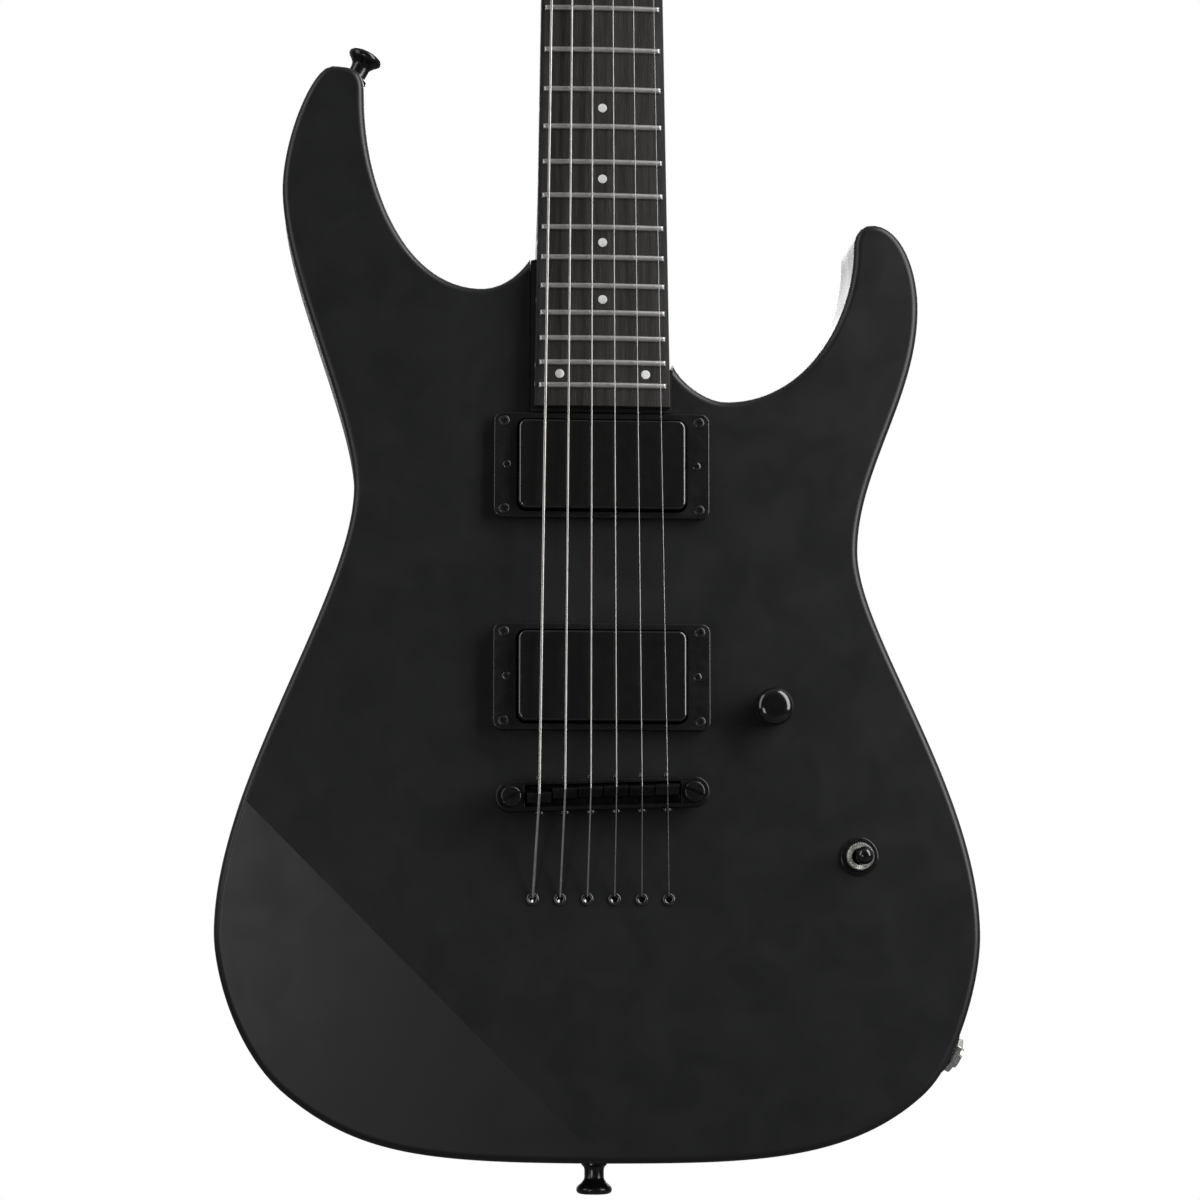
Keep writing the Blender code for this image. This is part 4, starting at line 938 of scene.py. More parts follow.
def back_faces(bm, above=-1e6):
    """The flat faces of the back that lie above a height."""
    edge = BODY_THICKNESS / 2 - 0.01
    return [face for face in bm.faces
            if face.calc_center_median().y > edge and face.calc_center_median().z > above]


def body_blank():
    """The rounded and carved slab, before its cavities are cut."""
    middle = BODY_THICKNESS / 2
    outline = even_outline(bezier_outline(BODY_OUTLINE, 60), BODY_OUTLINE_PITCH)
    bm = add_prism(bmesh.new(), outline, middle, -middle)
    rims = [e for e in bm.edges if abs(e.verts[0].co.y - e.verts[1].co.y) < 0.01]
    bmesh.ops.bevel(bm, geom=rims, offset=BODY_ROUNDOVER, segments=6, profile=0.5,
                    affect="EDGES", clamp_overlap=False)
    front = [f for f in bm.faces if f.calc_center_median().y < 0]
    split_faces(bm, front, ARM_RIDGE_POINT, ARM_OUTWARD)
    for reach in evenly(0.0, CARVE_STEP, int(BELLY_REACH / CARVE_STEP) + 1):
        point = [start + reach * way for start, way in zip(BELLY_POINT, BELLY_OUTWARD)]
        split_faces(bm, back_faces(bm), point, BELLY_OUTWARD)
    foot = HEEL_CARVE_CENTRE[1] - HEEL_CARVE_REACH
    cuts = int(HEEL_CARVE_REACH / CARVE_STEP)
    for cut in range(cuts + 2):
        split_faces(bm, back_faces(bm, foot - 1), (0.0, foot + cut * CARVE_STEP), (0.0, 1.0))
    for cut in range(-cuts - 1, cuts + 2):
        split_faces(bm, back_faces(bm, foot), (cut * CARVE_STEP, 0.0), (1.0, 0.0))
    bmesh.ops.triangulate(bm, faces=back_faces(bm), quad_method="BEAUTY", ngon_method="BEAUTY")
    for vert in bm.verts:
        if vert.co.y < 0:
            vert.co.y += front_carve(vert.co.x, vert.co.z)
        else:
            vert.co.y -= back_carve(vert.co.x, vert.co.z)
    bmesh.ops.translate(bm, vec=(0.0, -middle, 0.0), verts=bm.verts)
    return bm


def pocket_cutters():
    """Mortise, pickup cavities, control cavity with its cover's seat, and battery bay."""
    front, over = -BODY_THICKNESS, CUTTER_OVERRUN
    deep = BOARD_THICKNESS + HEEL_DEPTH + GAP
    mortise = add_box(bmesh.new(), (2 * (HEEL_HALF_WIDTH + GAP), deep + over, MORTISE_LENGTH),
                      (0.0, (deep - over) / 2, HEEL_START - GAP + MORTISE_LENGTH / 2))
    mortise.transform(NECK_PLACE)
    yield mortise
    pockets = [(rounded_rectangle(width, height, 3.0, 4, (0.0, z)), front - over, front + depth)
               for z in PICKUP_Z.values()
               for width, height, depth in (CAVITY_SIZE, EAR_POCKET_SIZE)]
    for margin, low in ((-COVER_LEDGE, front + TOP_PLATE), (GAP, -COVER_THICKNESS - 2 * GAP)):
        radii = [radius + margin for radius in COVER_RADII]
        pockets.append((capsule(KNOB_AT, TOGGLE_AT, *radii), low, over))
    length, height, depth = BATTERY_SIZE
    for margin, corner, steps, low in ((BOX_MARGIN, 1.5, 3, -depth - 7.0),
                                       (FLANGE_MARGIN, 4.0, 8, -FLANGE_THICKNESS - 2 * GAP)):
        seat = (length + margin[0] + 1, height + margin[1] + 1)
        pockets.append((rounded_rectangle(*seat, corner, steps, BATTERY_AT), low, over))
    for pocket in pockets:
        yield add_prism(bmesh.new(), *pocket)


def hole_cutters():
    """Holes for strings, ferrules, bridge studs, controls, jack and strap button screws."""
    front, middle, over = -BODY_THICKNESS, -BODY_THICKNESS / 2, CUTTER_OVERRUN
    row = [spread(FERRULE_SPREAD, index) for index in range(STRINGS)]
    yield add_holes(bmesh.new(), 2.0, BODY_THICKNESS + 2 * over, BACK,
                    [(x, front - over, FERRULE_Z) for x in row])
    yield add_holes(bmesh.new(), 4.3, over + 5.0, FRONT, [(x, over, FERRULE_Z) for x in row], 36)
    studs = add_holes(bmesh.new(), 3.4, over + 22.0, BACK,
                      [(side * POST_SPACING / 2, -over, 0.0) for side in (-1, 1)])
    studs.transform(BRIDGE_PLACE)
    yield studs
    for (x, z), radius in ((KNOB_AT, 4.4), (TOGGLE_AT, 6.2)):
        yield add_holes(bmesh.new(), radius, 2 * over, BACK, [(x, front - over, z)], 32)
    inward = Vector((-JACK_AXIS[0], 0.0, -JACK_AXIS[1]))
    mouth = Vector((JACK_AT[0], middle, JACK_AT[1])) - inward * over
    yield add_holes(bmesh.new(), 9.0, over + 30.0, inward, [mouth], 48)
    for place, axis in STRAP_BUTTONS.values():
        start = (place[0] + 3 * axis[0], middle, place[1] + 3 * axis[1])
        yield add_holes(bmesh.new(), 2.1, 21.0, (-axis[0], 0.0, -axis[1]), [start], 16)


def build_body():
    """Body with all its cavities, and a crisp ridge along the arm contour."""
    bm = body_blank()
    for tool in (*pocket_cutters(), *hole_cutters()):
        bm = boolean(bm, tool)
    mesh = finish_piece("body_shell", bm, "body", "body", crease=50.0).data
    ridge = Vector((ARM_RIDGE_POINT[0], 0.0, ARM_RIDGE_POINT[1])) * MM
    outward = Vector((ARM_OUTWARD[0], 0.0, ARM_OUTWARD[1]))
    for edge in mesh.edges:
        ends = [mesh.vertices[index].co for index in edge.vertices]
        on_ridge = all(abs((end - ridge).dot(outward)) < 2e-6 for end in ends)
        if on_ridge and all(end.y < -BODY_THICKNESS * MM + 0.0005 for end in ends):
            edge.use_edge_sharp = True


# ---------------------------------------------------------------- neck

def head_edges(v):
    """Both edges of the headstock at a height along it."""
    crossings = []
    for (x1, v1), (x2, v2) in zip(HEAD_POINTS, HEAD_POINTS[1:] + HEAD_POINTS[:1]):
        if (v1 > v) != (v2 > v):
            crossings.append(x1 + (x2 - x1) * (v - v1) / (v2 - v1))
    return min(crossings), max(crossings)


def neck_shape(u):
    """Left edge, right edge, depth and squareness of the wood at a distance from the saddles."""
    rise = smoothstep((u - HEEL_CURVE[0]) / (HEEL_CURVE[1] - HEEL_CURVE[0]))
    along = max(0.0, (u - HEEL_CURVE[1]) / (SCALE_LENGTH - HEEL_CURVE[1]))
    shaft = SHAFT_DEPTH_HEEL + along * (SHAFT_DEPTH_NUT - SHAFT_DEPTH_HEEL)
    depth = HEEL_DEPTH + rise * (shaft - HEEL_DEPTH) - GAP
    squareness = HEEL_SQUARENESS + rise * (SHAFT_SQUARENESS - HEEL_SQUARENESS)
    board = board_half_width(min(u, SCALE_LENGTH))
    left = -HEEL_HALF_WIDTH if u <= LIP_END_BASS else -board
    right = HEEL_HALF_WIDTH if u <= LIP_END_TREBLE else board
    if u > HEAD_START:
        left, right = head_edges(u - HEAD_START)
    turn = smoothstep((u - HEAD_START + 6.0) / 34.0)
    depth += turn * (HEAD_THICKNESS - depth)
    squareness += turn * (HEAD_SQUARENESS - squareness)
    return left, right, depth, squareness


def neck_section(u, steps=40):
    """One section across the neck or headstock."""
    left, right, depth, squareness = neck_shape(u)
    centre, half, power = (left + right) / 2, (right - left) / 2, 2 / squareness
    past = max(0.0, u - HEAD_START)
    lean = radians(HEAD_ANGLE)
    origin = Vector((0.0, BOARD_THICKNESS + GAP + past * sin(lean),
                     min(u, HEAD_START) + past * cos(lean)))
    turn = HEAD_ANGLE * smoothstep((u - HEAD_START + 15.0) / 30.0)
    place = NECK_PLACE @ tilted_place(origin, turn)
    points = [(left, 0.0)]
    for angle in (pi * step / steps for step in range(1, steps)):
        points.append((centre - signed_power(cos(angle), power) * half,
                       signed_power(sin(angle), power) * depth))
    points.append((right, 0.0))
    return [place @ Vector((x, y, 0.0)) for x, y in points]


def neck_stations():
    """Distances from the saddle line at which the neck is drawn."""
    return [HEEL_START, 158.0, 164.0, LIP_END_TREBLE, LIP_END_TREBLE + 0.6, 178.0, 190.0, 200.0,
            *evenly(205.0, 3.6, 4)[1:], LIP_END_BASS, LIP_END_BASS + 0.6,
            *evenly(219.0, 3.0, 11), *evenly(260.0, 20.0, 19), *evenly(632.0, 3.0, 7),
            *evenly(HEAD_START + 1.0, 3.0, 12), *evenly(HEAD_START + 40.0, 8.0, 16),
            *(HEAD_START + v for v in HEAD_TIP_STATIONS)]


def build_neck():
    """Heel, shaft and headstock in one flowing piece, with the tuners' holes."""
    bm = add_loft(bmesh.new(), [neck_section(u) for u in neck_stations()])
    posts = [post_place(index) for index in range(STRINGS)]
    tool = add_holes(bmesh.new(), 5.2, HEAD_THICKNESS + 8, BACK, [(x, -4.0, u) for x, u in posts])
    tool.transform(HEAD_PLACE)
    finish_piece("neck_and_headstock", boolean(bm, tool), "neck", "neck", bevel=0.6, segments=3,
                 crease=55.0)


def build_fretboard():
    """Board with a crowned top, its frets, inlays and side dots."""
    rings = []
    for u in (*evenly(BOARD_END, 40, 12), SCALE_LENGTH - GAP):
        half = board_half_width(u)
        top = [half * (2 * step / 24 - 1) for step in range(25)]
        rings.append([(-half, BOARD_THICKNESS, u), *((x, crown(x), u) for x in top),
                      (half, BOARD_THICKNESS, u)])
    finish_piece("fretboard_wood", add_loft(bmesh.new(), rings), "board", "fretboard",
                 place=NECK_PLACE, bevel=0.35, crease=50.0)

    bm = bmesh.new()
    for u in (fret_place(number) for number in range(1, FRETS + 1)):
        half = board_half_width(u) - FRET_INSET
        stations = [(-half + inset, share) for inset, share in FRET_END]
        stations += [((half - 1.2) * (2 * step / 12 - 1), 1.0) for step in range(13)]
        stations += [(half - inset, share) for inset, share in FRET_END[::-1]]
        rings = []
        for x, share in stations:
            ring = [(x, crown(x) + 0.25, u + side * FRET_WIDTH / 2) for side in (1, -1)]
            for angle in (pi * step / 8 for step in range(9)):
                ring.append((x, crown(x) - FRET_HEIGHT * share * sin(angle) ** 0.8,
                             u - FRET_WIDTH / 2 * cos(angle)))
            rings.append(ring)
        add_loft(bm, rings)
    finish_piece("frets", bm, "fret", "fretboard", place=NECK_PLACE)

    spots = [(0.0, dot_place(number)) for number in DOT_FRETS]
    for number, offset in DOUBLE_DOT_FRETS.items():
        spots += [(-offset, dot_place(number)), (offset, dot_place(number))]
    profile = ((DOT_RADIUS, -0.6), (DOT_RADIUS, 0.0), (DOT_RADIUS - 0.12, 0.05), (0.6, 0.07))
    bm = bmesh.new()
    for x, u in spots:
        add_turned(bm, profile, 32, (x / BOARD_RADIUS, -1.0, 0.0), (x, crown(x), u))
    finish_piece("dot_inlays", bm, "dot", place=NECK_PLACE)

    bm = bmesh.new()
    for number in (*DOT_FRETS, *DOUBLE_DOT_FRETS):
        for shift in (-4.0, 4.0) if number in DOUBLE_DOT_FRETS else (0.0,):
            u = dot_place(number) + shift
            half = board_half_width(u)
            add_turned(bm, ((1.0, -0.5), (1.0, 0.0), (0.9, 0.04), (0.4, 0.06)), 20, BUTTON_SIDE,
                       (-half, (crown(half) + BOARD_THICKNESS) / 2, u))
    finish_piece("side_dots", bm, "dot", place=NECK_PLACE)


def build_nut():
    """Nut with a rounded back and a slot for each string."""
    half, rings = BOARD_HALF_WIDTH_NUT, []
    arch = [half * (2 * step / 16 - 1) for step in range(17)]
    for share in (0.0, 0.35, 0.7, 1.0):
        u = SCALE_LENGTH + share * (NUT_THICKNESS - GAP)
        drop = 1.6 * share * share
        top = [(x, crown(x) + BOARD_THICKNESS - NUT_HEIGHT + drop, u) for x in arch[::-1]]
        rings.append([(half, BOARD_THICKNESS, u), *top, (-half, BOARD_THICKNESS, u)])
    bm, tool = add_loft(bmesh.new(), rings), bmesh.new()
    for index in range(STRINGS):
        point = nut_point(index)
        width = STRING_DIAMETERS[index] + 0.3
        add_box(tool, (width, 4.0, 12.0), (point.x, point.y + width / 2 - 2.0, SCALE_LENGTH + 2))
    finish_piece("string_nut", boolean(bm, tool), "nut", "nut", place=NECK_PLACE, bevel=0.22,
                 crease=45.0)


# ---------------------------------------------------------------- headstock hardware

def tuner_housing():
    """Gearbox with its bushing, washer and hexagonal nut, in the tuner's frame."""
    back = HEAD_THICKNESS + GAP
    width, height, depth = GEARBOX_SIZE
    case = add_cushioned(
        bmesh.new(), inset_rectangle(width, height, 3.6, 8, (-0.5, -WORM_OFFSET / 2)),
        back, back + depth, 2.0)
    bushing = add_turned(bmesh.new(), ((4.9, -1.4), (4.9, HEAD_THICKNESS + 2)), 32, BACK)
    case = boolean(case, bushing, "UNION")
    tool = add_holes(bmesh.new(), 3.4, HEAD_THICKNESS + 10.4, BACK, [(0.0, -5.0, 0.0)], 28)
    root = Vector(BUTTON_ROOT) + Vector((0.5, 0.0, 0.0))
    case = boolean(case, add_holes(tool, 2.4, 8.0, BUTTON_SIDE, [root], 20))
    washer = ((3.5, -0.9), (6.5, -0.9), (6.6, -0.75), (6.6, -0.1), (3.5, -0.1))
    add_turned(case, washer, 40, BACK, hollow=True)
    nut = add_turned(bmesh.new(), ((5.5, -2.3), (6.0, -1.9), (6.0, -0.95)), 6, BACK)
    hole = add_turned(bmesh.new(), ((3.5, -4.0), (3.5, 1.0)), 28, BACK)
    return stamp(case, boolean(nut, hole))


def tuner_paddle():
    """Button: a thin shaft with a collar, and a kidney-shaped paddle with a soft edge."""
    shaft = add_turned(bmesh.new(), BUTTON_SHAFT, 28, BUTTON_SIDE)
    rings = []
    for here, there in zip(BUTTON_PADDLE, BUTTON_PADDLE[1:] + BUTTON_PADDLE[-1:]):
        for step in range(5 if there is not here else 1):
            share = smoothstep(step / 5) * 0.5 + step / 10
            reach, wide, thick = (a + (b - a) * share for a, b in zip(here, there))
            rings.append([(-reach, thick * signed_power(c, 0.8), wide * signed_power(s, 0.8))
                          for c, s in circle(32)])
    return boolean(shaft, add_loft(bmesh.new(), rings), "UNION")


def string_winding(index):
    """Turns of the string on its post."""
    radius, steps = STRING_DIAMETERS[index] / 2, WINDING_TURNS * 28
    points = []
    for step in range(steps + 1):
        angle = 2 * pi * step / 28
        y = POST_STRING_Y + (step / steps - 0.5) * 2 * radius * 2.1 * WINDING_TURNS / 2
        points.append(Vector((WINDING_RADIUS * cos(angle), y, WINDING_RADIUS * sin(angle))))
    return add_loft(bmesh.new(), tube_rings(points, radius, 10))


def build_tuners():
    """Six tuners, with their posts, windings, buttons and mounting screws."""
    housing, paddle = tuner_housing(), tuner_paddle()
    for index in range(STRINGS):
        number, place = index + 1, tuner_place(index)
        post, button = f"tuner_post_{number}", f"tuner_button_{number}"
        finish_piece(f"tuner_case_{number}", stamp(bmesh.new(), housing, place), "black_satin",
                     f"tuner_housing_{number}", bevel=0.25, crease=40.0)
        wound = WINDING_RADIUS - STRING_DIAMETERS[index] / 2 - 0.05
        profile = ((1.9, -17.0), (2.6, -16.8), (POST_RADIUS, -16.3), (POST_RADIUS, -12.2),
                   (wound * 0.96, -11.4), (wound, -10.6), (wound, -7.2), (POST_RADIUS, -6.4),
                   (POST_RADIUS, HEAD_THICKNESS + 4.0))
        eye = add_turned(bmesh.new(), ((0.8, -8.0), (0.8, 8.0)), 16, (1, 0, 0), (0.0, -13.8, 0.0))
        spindle = boolean(add_turned(bmesh.new(), profile, 32, BACK), eye)
        finish_piece(f"tuner_spindle_{number}", spindle, "black", post, post, place)
        finish_piece(f"string_winding_{number}", string_winding(index), string_finish(index),
                     body=post, place=place)
        key = stamp(bmesh.new(), paddle, place @ Matrix.Translation(BUTTON_ROOT))
        finish_piece(f"tuner_key_{number}", key, "black", button, button)
    back = HEAD_THICKNESS + GAP + GEARBOX_SIZE[2]
    spots = [tuner_place(index) @ Vector((-0.5, back - 0.15, 4.2)) for index in range(STRINGS)]
    add_screws("gearbox_screws", spots, HEAD_PLACE.to_3x3() @ Vector(BACK), 1.7, 0.5)


def build_truss_cover():
    """Cover over the truss rod's adjuster, held by two screws."""
    def outline(inset):
        return [(TRUSS_X - 8.0 + inset, 6.0 + inset), (TRUSS_X + 8.0 - inset, 6.0 + inset),
                *arc((TRUSS_X, 30.0), 5.0 - inset, 0, 180, 16)]
    finish_piece("truss_rod_plate", add_cushioned(bmesh.new(), outline, -0.1, -1.9, 0.5, 3),
                 "plate", "truss_rod_cover", place=HEAD_PLACE)
    spots = [HEAD_PLACE @ Vector((TRUSS_X, -1.95, z)) for z in (10.0, 31.0)]
    add_screws("truss_cover_screws", spots, HEAD_PLACE.to_3x3() @ Vector(FRONT), 1.5, 0.4)


# ---------------------------------------------------------------- strings and ferrules

def build_strings():
    """Six strings over their whole route, and the ferrules that anchor them."""
    front_rings, back_rings, balls = bmesh.new(), bmesh.new(), bmesh.new()
    for index in range(STRINGS):
        number, radius = index + 1, STRING_DIAMETERS[index] / 2
        x, slot = spread(FERRULE_SPREAD, index), nut_point(index)
        post_x, post_u = post_place(index)
        corners = (
            Vector((x, -3.0, FERRULE_Z)),
            Vector((x, -BODY_THICKNESS - 1.0, FERRULE_Z + (FERRULE_BORE - 0.1 - radius))),
            crest_point(index),
            NECK_PLACE @ slot,
            NECK_PLACE @ (slot + Vector((0.0, 0.1, NUT_THICKNESS - 0.5))),
            HEAD_PLACE @ Vector((post_x + WINDING_RADIUS, POST_STRING_Y, post_u)),
        )
        rings = tube_rings(rounded_path(corners, STRING_BEND), radius, 14)
        for part, share, fixed in (("tail", rings[:CREST_RING + 1], corners[1]),
                                   ("speaking", rings[CREST_RING:], corners[3])):
            finish_piece(f"string_{part}_{number}", add_loft(bmesh.new(), share),
                         string_finish(index), f"string_{number}",
                         bend=("guitar", f"saddle_{number}", fixed * MM, corners[2] * MM))
        add_turned(front_rings, FERRULE_PROFILE, 32, FRONT, (x, -BODY_THICKNESS, FERRULE_Z), True)
        add_turned(back_rings, BACK_FERRULE_PROFILE, 36, BACK, (x, 0.0, FERRULE_Z), True)
        add_turned(balls, BALL_END_PROFILE, 20, (1, 0, 0), (x, -2.6, FERRULE_Z))
    finish_piece("front_ferrules", front_rings, "ferrule")
    finish_piece("back_ferrules", back_rings, "black")
    finish_piece("string_ball_ends", balls, "nickel")


# ---------------------------------------------------------------- bridge

def threaded(start, end, radius):
    """Profile of a thread between two heights."""
    points = []
    for height in evenly(start, THREAD_PITCH, int((end - start) / THREAD_PITCH)):
        points += [(radius - 0.22, height + 0.1), (radius, height + THREAD_PITCH / 2)]
    return points


def build_bridge():
    """Bar on two slotted studs, with six saddles and their screws."""
    floor, wall = BRIDGE_BOTTOM + 1.0, BRIDGE_WIDTH / 2
    row = [spread(SADDLE_SPREAD, index) for index in range(STRINGS)]
    bar = inset_rectangle(BRIDGE_LENGTH, BRIDGE_WIDTH, wall - 0.01, 14)
    trough = add_box(bmesh.new(), (SADDLE_SLOT_LENGTH, 10.0, SADDLE_SLOT_WIDTH),
                     (0.0, -floor - 5.0, 0.0))
    bm = boolean(add_cushioned(bmesh.new(), bar, -BRIDGE_BOTTOM, -BRIDGE_TOP, 0.9), trough)
    tool = add_holes(bmesh.new(), SCREW_RADIUS + GAP, 20.0, (0, 0, 1),
                     [(x, -SCREW_HEIGHT, -10.0) for x in row], 18)
    add_holes(tool, 3.3, 12.0, FRONT,
              [(side * POST_SPACING / 2, -3.0, 0.0) for side in (-1, 1)], 28)
    finish_piece("bridge_beam", boolean(bm, tool), "black_satin", "bridge_bar",
                 place=BRIDGE_PLACE, bevel=0.22, crease=50.0)

    for side, name in ((-1, "bass"), (1, "treble")):
        post = add_turned(bmesh.new(), BRIDGE_POST_PROFILE, 40, FRONT)
        slot = add_box(bmesh.new(), (12.0, 2.0, 1.1), (0.0, -BRIDGE_TOP - 1.9, 0.0))
        slot.transform(rotation(24 * side, "Y"))
        finish_piece(f"bridge_post_{name}", boolean(post, slot), "black", f"bridge_stud_{name}",
                     place=BRIDGE_PLACE @ Matrix.Translation((side * POST_SPACING / 2, 0.0, 0.0)))

    for index, x in enumerate(row):
        saddle, screw = f"saddle_{index + 1}", f"saddle_screw_{index + 1}"
        top = CREST_HEIGHT - crown(x) - STRING_DIAMETERS[index] / 2
        half, shoulder, bottom = SADDLE_THICKNESS / 2, BRIDGE_TOP + 0.4, floor + GAP
        profile = ((-half, bottom), (half, bottom), (half, shoulder), (CREST_OFFSET + 0.4, top),
                   (CREST_OFFSET - 0.4, top), (-half, shoulder))
        block = add_loft(bmesh.new(), [[(side * SADDLE_WIDTH / 2, -y, z) for z, y in profile]
                                       for side in (-1, 1)])
        notch = max(0.35, STRING_DIAMETERS[index] * 0.6)
        tool = add_holes(bmesh.new(), SCREW_RADIUS + 0.1, 12.0, (0, 0, 1),
                         [(0.0, -SCREW_HEIGHT, -6.0)], 20)
        add_holes(tool, notch, 8.0, (0, 0, 1), [(0.0, -top - notch * 0.55, -3.0)], 16)
        finish_piece(f"saddle_block_{index + 1}", boolean(block, tool), "black_satin", saddle,
                     saddle, BRIDGE_PLACE @ Matrix.Translation((x, 0.0, SADDLE_REST[index])),
                     bevel=0.3, crease=30.0)

        profile = [(1.6, -wall - 1.6), (2.1, -wall - 1.5), (2.3, -wall - 1.2), (2.3, -wall - GAP),
                   (SCREW_RADIUS - 0.22, -wall - GAP),
                   *threaded(-wall, wall + 1.3, SCREW_RADIUS), (0.7, wall + 1.8)]
        slot = add_box(bmesh.new(), (6.0, 0.6, 1.2), (0.0, 0.0, -wall - 1.7))
        finish_piece(f"saddle_bolt_{index + 1}",
                     boolean(add_turned(bmesh.new(), profile, 20), slot), "black", screw, screw,
                     BRIDGE_PLACE @ Matrix.Translation((x, -SCREW_HEIGHT, 0.0)))


# ---------------------------------------------------------------- pickups

def build_pickup(name):
    """A pickup in its ring, with four ring screws and two height screws."""
    z, front = PICKUP_Z[name], -BODY_THICKNESS
    top, bottom, face = front - PICKUP_TOP[name], front + 14.0, front - RING_HEIGHT[name]
    width, height = COVER_SIZE
    cover = add_cushioned(bmesh.new(), inset_rectangle(width, height, 3.4, 10, (0.0, z)),
                          bottom, top, 1.3, 6)
    feet = add_prism(bmesh.new(), rounded_rectangle(83.0, 11.0, 2.0, 5, (0.0, z)),
                     bottom - 0.8, bottom - 2.4)
    finish_piece(f"{name}_pickup_cover", boolean(cover, feet, "UNION"), "cover",
                 f"{name}_pickup", f"{name}_pickup")

    ring = add_cushioned(bmesh.new(), inset_rectangle(*RING_SIZE, 3.6, 10, (0.0, z)),
                         front - 0.02, face, 0.6, 4)
    opening = rounded_rectangle(width + 1.6, height + 1.6, 4.0, 10, (0.0, z))
    ring = boolean(ring, add_prism(bmesh.new(), opening, front + 5.0, front - 15.0))
    spots = [(x, z + v) for x in (-RING_SCREWS[0], RING_SCREWS[0])
             for v in (-RING_SCREWS[1], RING_SCREWS[1])]
    lifts = [(x, z) for x in (-HEIGHT_SCREW_X, HEIGHT_SCREW_X)]
    tool = bmesh.new()
    for places, profile, segments in ((spots, ((1.0, -2.4), (2.35, -0.6), (2.35, 1.0)), 28),
                                      (lifts, ((1.9, -1.4), (1.9, 1.0)), 24)):
        for x, v in places:
            add_turned(tool, profile, segments, FRONT, (x, face, v))
    finish_piece(f"{name}_ring_frame", boolean(ring, tool), "ring", f"{name}_pickup_ring",
                 bevel=0.18, crease=55.0)
    add_screws(f"{name}_ring_screws", [(x, face + 0.2, v) for x, v in spots], FRONT, 2.2, 0.4,
               "screw")
    add_screws(f"{name}_height_screws", [(x, face + 0.3, v) for x, v in lifts], FRONT, 1.8, 0.5,
               "ferrule", 12.0)


# ---------------------------------------------------------------- controls and output

def build_knob():
    """Volume knob with a domed shoulder and a pointer dimple."""
    low, radius = BODY_THICKNESS + 2.8, KNOB_RADIUS
    at, shoulder = (KNOB_AT[0], 0.0, KNOB_AT[1]), low + 9.9
    profile = [(3.3, low), (radius - 0.4, low), (radius - 0.1, low + 0.3), (radius, low + 1.0),
               (radius, shoulder)]
    profile += [(radius - KNOB_EDGE * (1 - across), shoulder + 3.6 * up)
                for across, up in quarter(12)[1:]]
    profile += [(2.0, low + 13.62), (0.9, low + 13.78), (0.9, low + 8.8), (3.3, low + 8.6)]
    bm = add_turned(bmesh.new(), profile, 72, FRONT, at, True)
    cap = add_turned(bmesh.new(), ((1.6, low + 9.6), (1.6, low + 13.77)), 40, FRONT, at)
    bm = boolean(bm, cap, "UNION")
    dimple = (KNOB_AT[0] - 2.2, -low - 4.5, KNOB_AT[1] - 3.8)
    tool = add_holes(bmesh.new(), 0.9, 8.0, (-0.5, 0.0, -0.866), [dimple], 16)
    finish_piece("volume_knob_cap", boolean(bm, tool), "knob", "volume_knob", "volume_knob",
                 crease=50.0)


def build_toggle():
    """Pickup selector: washer, knurled nut on the switch's frame, and lever."""
    top, at = BODY_THICKNESS, (TOGGLE_AT[0], 0.0, TOGGLE_AT[1])
    under = top - TOP_PLATE - GAP
    washer = ((6.05, top + 0.02), (7.7, top + 0.02), (7.8, top + 0.3), (7.7, top + 1.0),
              (7.4, top + 1.2), (6.05, top + 1.2))
    finish_piece("toggle_washer", add_turned(bmesh.new(), washer, 56, FRONT, at, True), "black")

    rings = []
    for inset, height in ((0.35, top + 1.22), (0.0, top + 1.6), (0.0, top + 3.0), (0.5, top + 3.6)):
        radii = (5.95 - inset, 5.95 - inset - 0.28)
        rings.append([(at[0] + radii[step % 2] * c, -height, at[2] + radii[step % 2] * s)
                      for step, (c, s) in enumerate(circle(2 * KNURLS))])
    frame_part = add_box(bmesh.new(), (10.0, under - 9.0, 24.0),
                         (at[0], -(under + 9.0) / 2 + 1.0, at[2]))
    add_turned(frame_part, ((5.0, under - 2.0), (5.0, top + 2.0)), 40, FRONT, at)
    bm = boolean(add_loft(bmesh.new(), rings), frame_part, "UNION")
    bore = ((2.2, under - 6.0), (3.0, under - 2.0), (3.45, top + 2.6), (5.25, top + 3.62),
            (5.25, top + 9.0))
    bm = boolean(bm, add_turned(bmesh.new(), bore, 40, FRONT, at))
    finish_piece("toggle_nut", bm, "nickel", "toggle_switch_frame", bevel=0.12, crease=50.0)

    profile = [(1.0, -2.2), (1.5, 0.0), (1.5, 9.5), (1.7, 10.3), (2.0, 12.0), (2.1, 16.0),
               *arc((0.0, 19.5), 3.65, -66, 86, 17)[1:-1]]
    lever = add_turned(bmesh.new(), profile, 44, FRONT, (at[0], 5.0 - top, at[2]))
    finish_piece("toggle_tip", lever, "knob", "toggle_lever", "toggle_lever")


def build_control_cover():
    """Cover behind the knob and the selector."""
    cover = add_cushioned(
        bmesh.new(),
        lambda inset: capsule(KNOB_AT, TOGGLE_AT, *(radius - inset for radius in COVER_RADII)),
        -COVER_THICKNESS - GAP, -GAP, 0.6, 4)
    finish_piece("control_plate", cover, "plate", "control_cover")
    spots = []
    for centre, radius, angles in zip((KNOB_AT, TOGGLE_AT), COVER_RADII, COVER_SCREW_ANGLES):
        for angle in angles:
            x, z = arc(centre, radius - 3.2, angle, angle, 1)[0]
            spots.append((x, -GAP - 0.45, z))
    add_screws("control_plate_screws", spots, BACK, 1.9, 0.4)


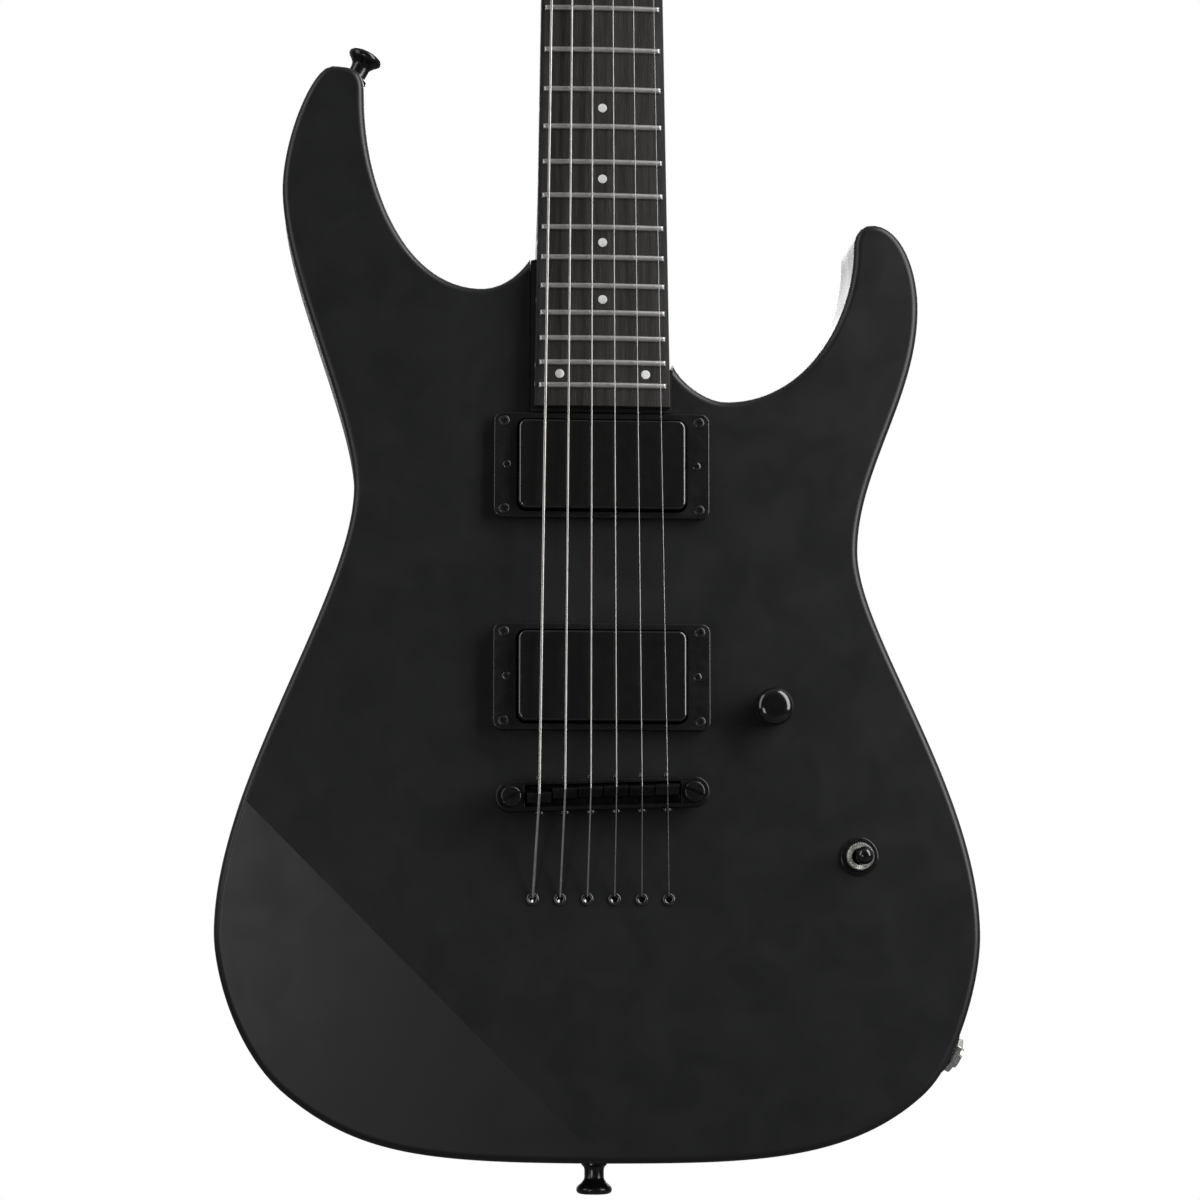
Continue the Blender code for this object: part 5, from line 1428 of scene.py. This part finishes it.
def build_output_jack():
    """Barrel jack with a washer and a hexagonal nut in the edge of the body."""
    place = point_along((JACK_AXIS[0], 0.0, JACK_AXIS[1]),
                        (JACK_AT[0], -BODY_THICKNESS / 2, JACK_AT[1]))
    nut = boolean(add_turned(bmesh.new(), ((7.0, 2.6), (7.4, 2.9), (7.4, 4.8), (6.9, 5.2)), 6),
                  add_holes(bmesh.new(), 4.65, 8.0, (0, 0, 1), [(0.0, 0.0, 0.0)], 40))
    barrel = stamp(add_turned(bmesh.new(), JACK_PROFILE, 40, hollow=True), nut)
    finish_piece("jack_barrel", barrel, "nickel", "output_jack", place=place, bevel=0.15,
                 crease=45.0)
    collar = add_turned(bmesh.new(), JACK_COLLAR_PROFILE, 48, hollow=True)
    finish_piece("jack_collar", collar, "black", place=place)


def build_battery_bay():
    """Hinged door of the battery box, with shallow ribs."""
    length, height = (size + margin - 2 * BOX_WALL - 2 * GAP
                      for size, margin in zip(BATTERY_SIZE, BOX_MARGIN))
    radius = DOOR_THICKNESS / 2
    hinge = (BATTERY_AT[0], -GAP - radius, BATTERY_AT[1] + height / 2 - radius)
    outline = [(radius, radius - height), (radius, 0.0),
               *arc((0.0, 0.0), radius, 0, 180, 12)[1:-1],
               (-radius, 0.0), (-radius, radius - height)]
    door = add_loft(bmesh.new(), [[(side * length / 2, y, z) for y, z in outline]
                                  for side in (-1, 1)])
    ribs = bmesh.new()
    for rise in evenly(4.5 - height, 2.0, 5):
        add_box(ribs, (14.0, 0.8, 0.9), (0.0, radius + 0.05, rise))
    finish_piece("battery_hatch", boolean(door, ribs), "plate", "battery_door", "battery_door",
                 Matrix.Translation(hinge), bevel=0.2, crease=50.0)
    across, along = ((size + margin) / 2 - 2.9 for size, margin in zip(BATTERY_SIZE, FLANGE_MARGIN))
    spots = [(BATTERY_AT[0] + x, -GAP - 0.3, BATTERY_AT[1] + z)
             for x in (-across, across) for z in (-along, along)]
    add_screws("battery_box_screws", spots, BACK, 1.5, 0.28)


def build_strap_buttons():
    """Two strap buttons, each held by a screw."""
    for name, (place, axis) in STRAP_BUTTONS.items():
        put = point_along((axis[0], 0.0, axis[1]), (place[0], -BODY_THICKNESS / 2, place[1]))
        finish_piece(f"{name}_cap", add_turned(bmesh.new(), STRAP_BUTTON_PROFILE, 56, hollow=True),
                     "black", name, place=put)
        screw = add_turned(screw_head(3.3, 1.0),
                           ((1.4, -16.0), (1.6, -15.0), (1.6, -2.0), (1.2, -1.5)), 20)
        finish_piece(f"{name}_screw", screw, "black",
                     place=put @ Matrix.Translation((0.0, 0.0, 11.7)))


def dress_carried_nodes():
    """Give the CAD nodes that stay visible their own finishes."""
    for node, finish in (("battery", "battery"), ("battery_box", "plate"), ("volume_pot", "steel")):
        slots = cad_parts[node].data.materials
        slots.clear()
        slots.append(FINISHES[finish][0])


def write_sizes():
    """Gather the CAD box and the visual model's box side by side."""
    boxes = {"cad": CAD_BOX, "visual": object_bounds()}
    plain = {name: [list(low), list(high)] for name, (low, high) in boxes.items()}


make_camera()
make_stage()
FINISHES = make_finishes()
build_body()
build_neck()
build_fretboard()
build_nut()
build_tuners()
build_truss_cover()
build_strings()
build_bridge()
for pickup in PICKUP_Z:
    build_pickup(pickup)
build_knob()
build_toggle()
build_control_cover()
build_output_jack()
build_battery_bay()
build_strap_buttons()
dress_carried_nodes()
write_sizes()
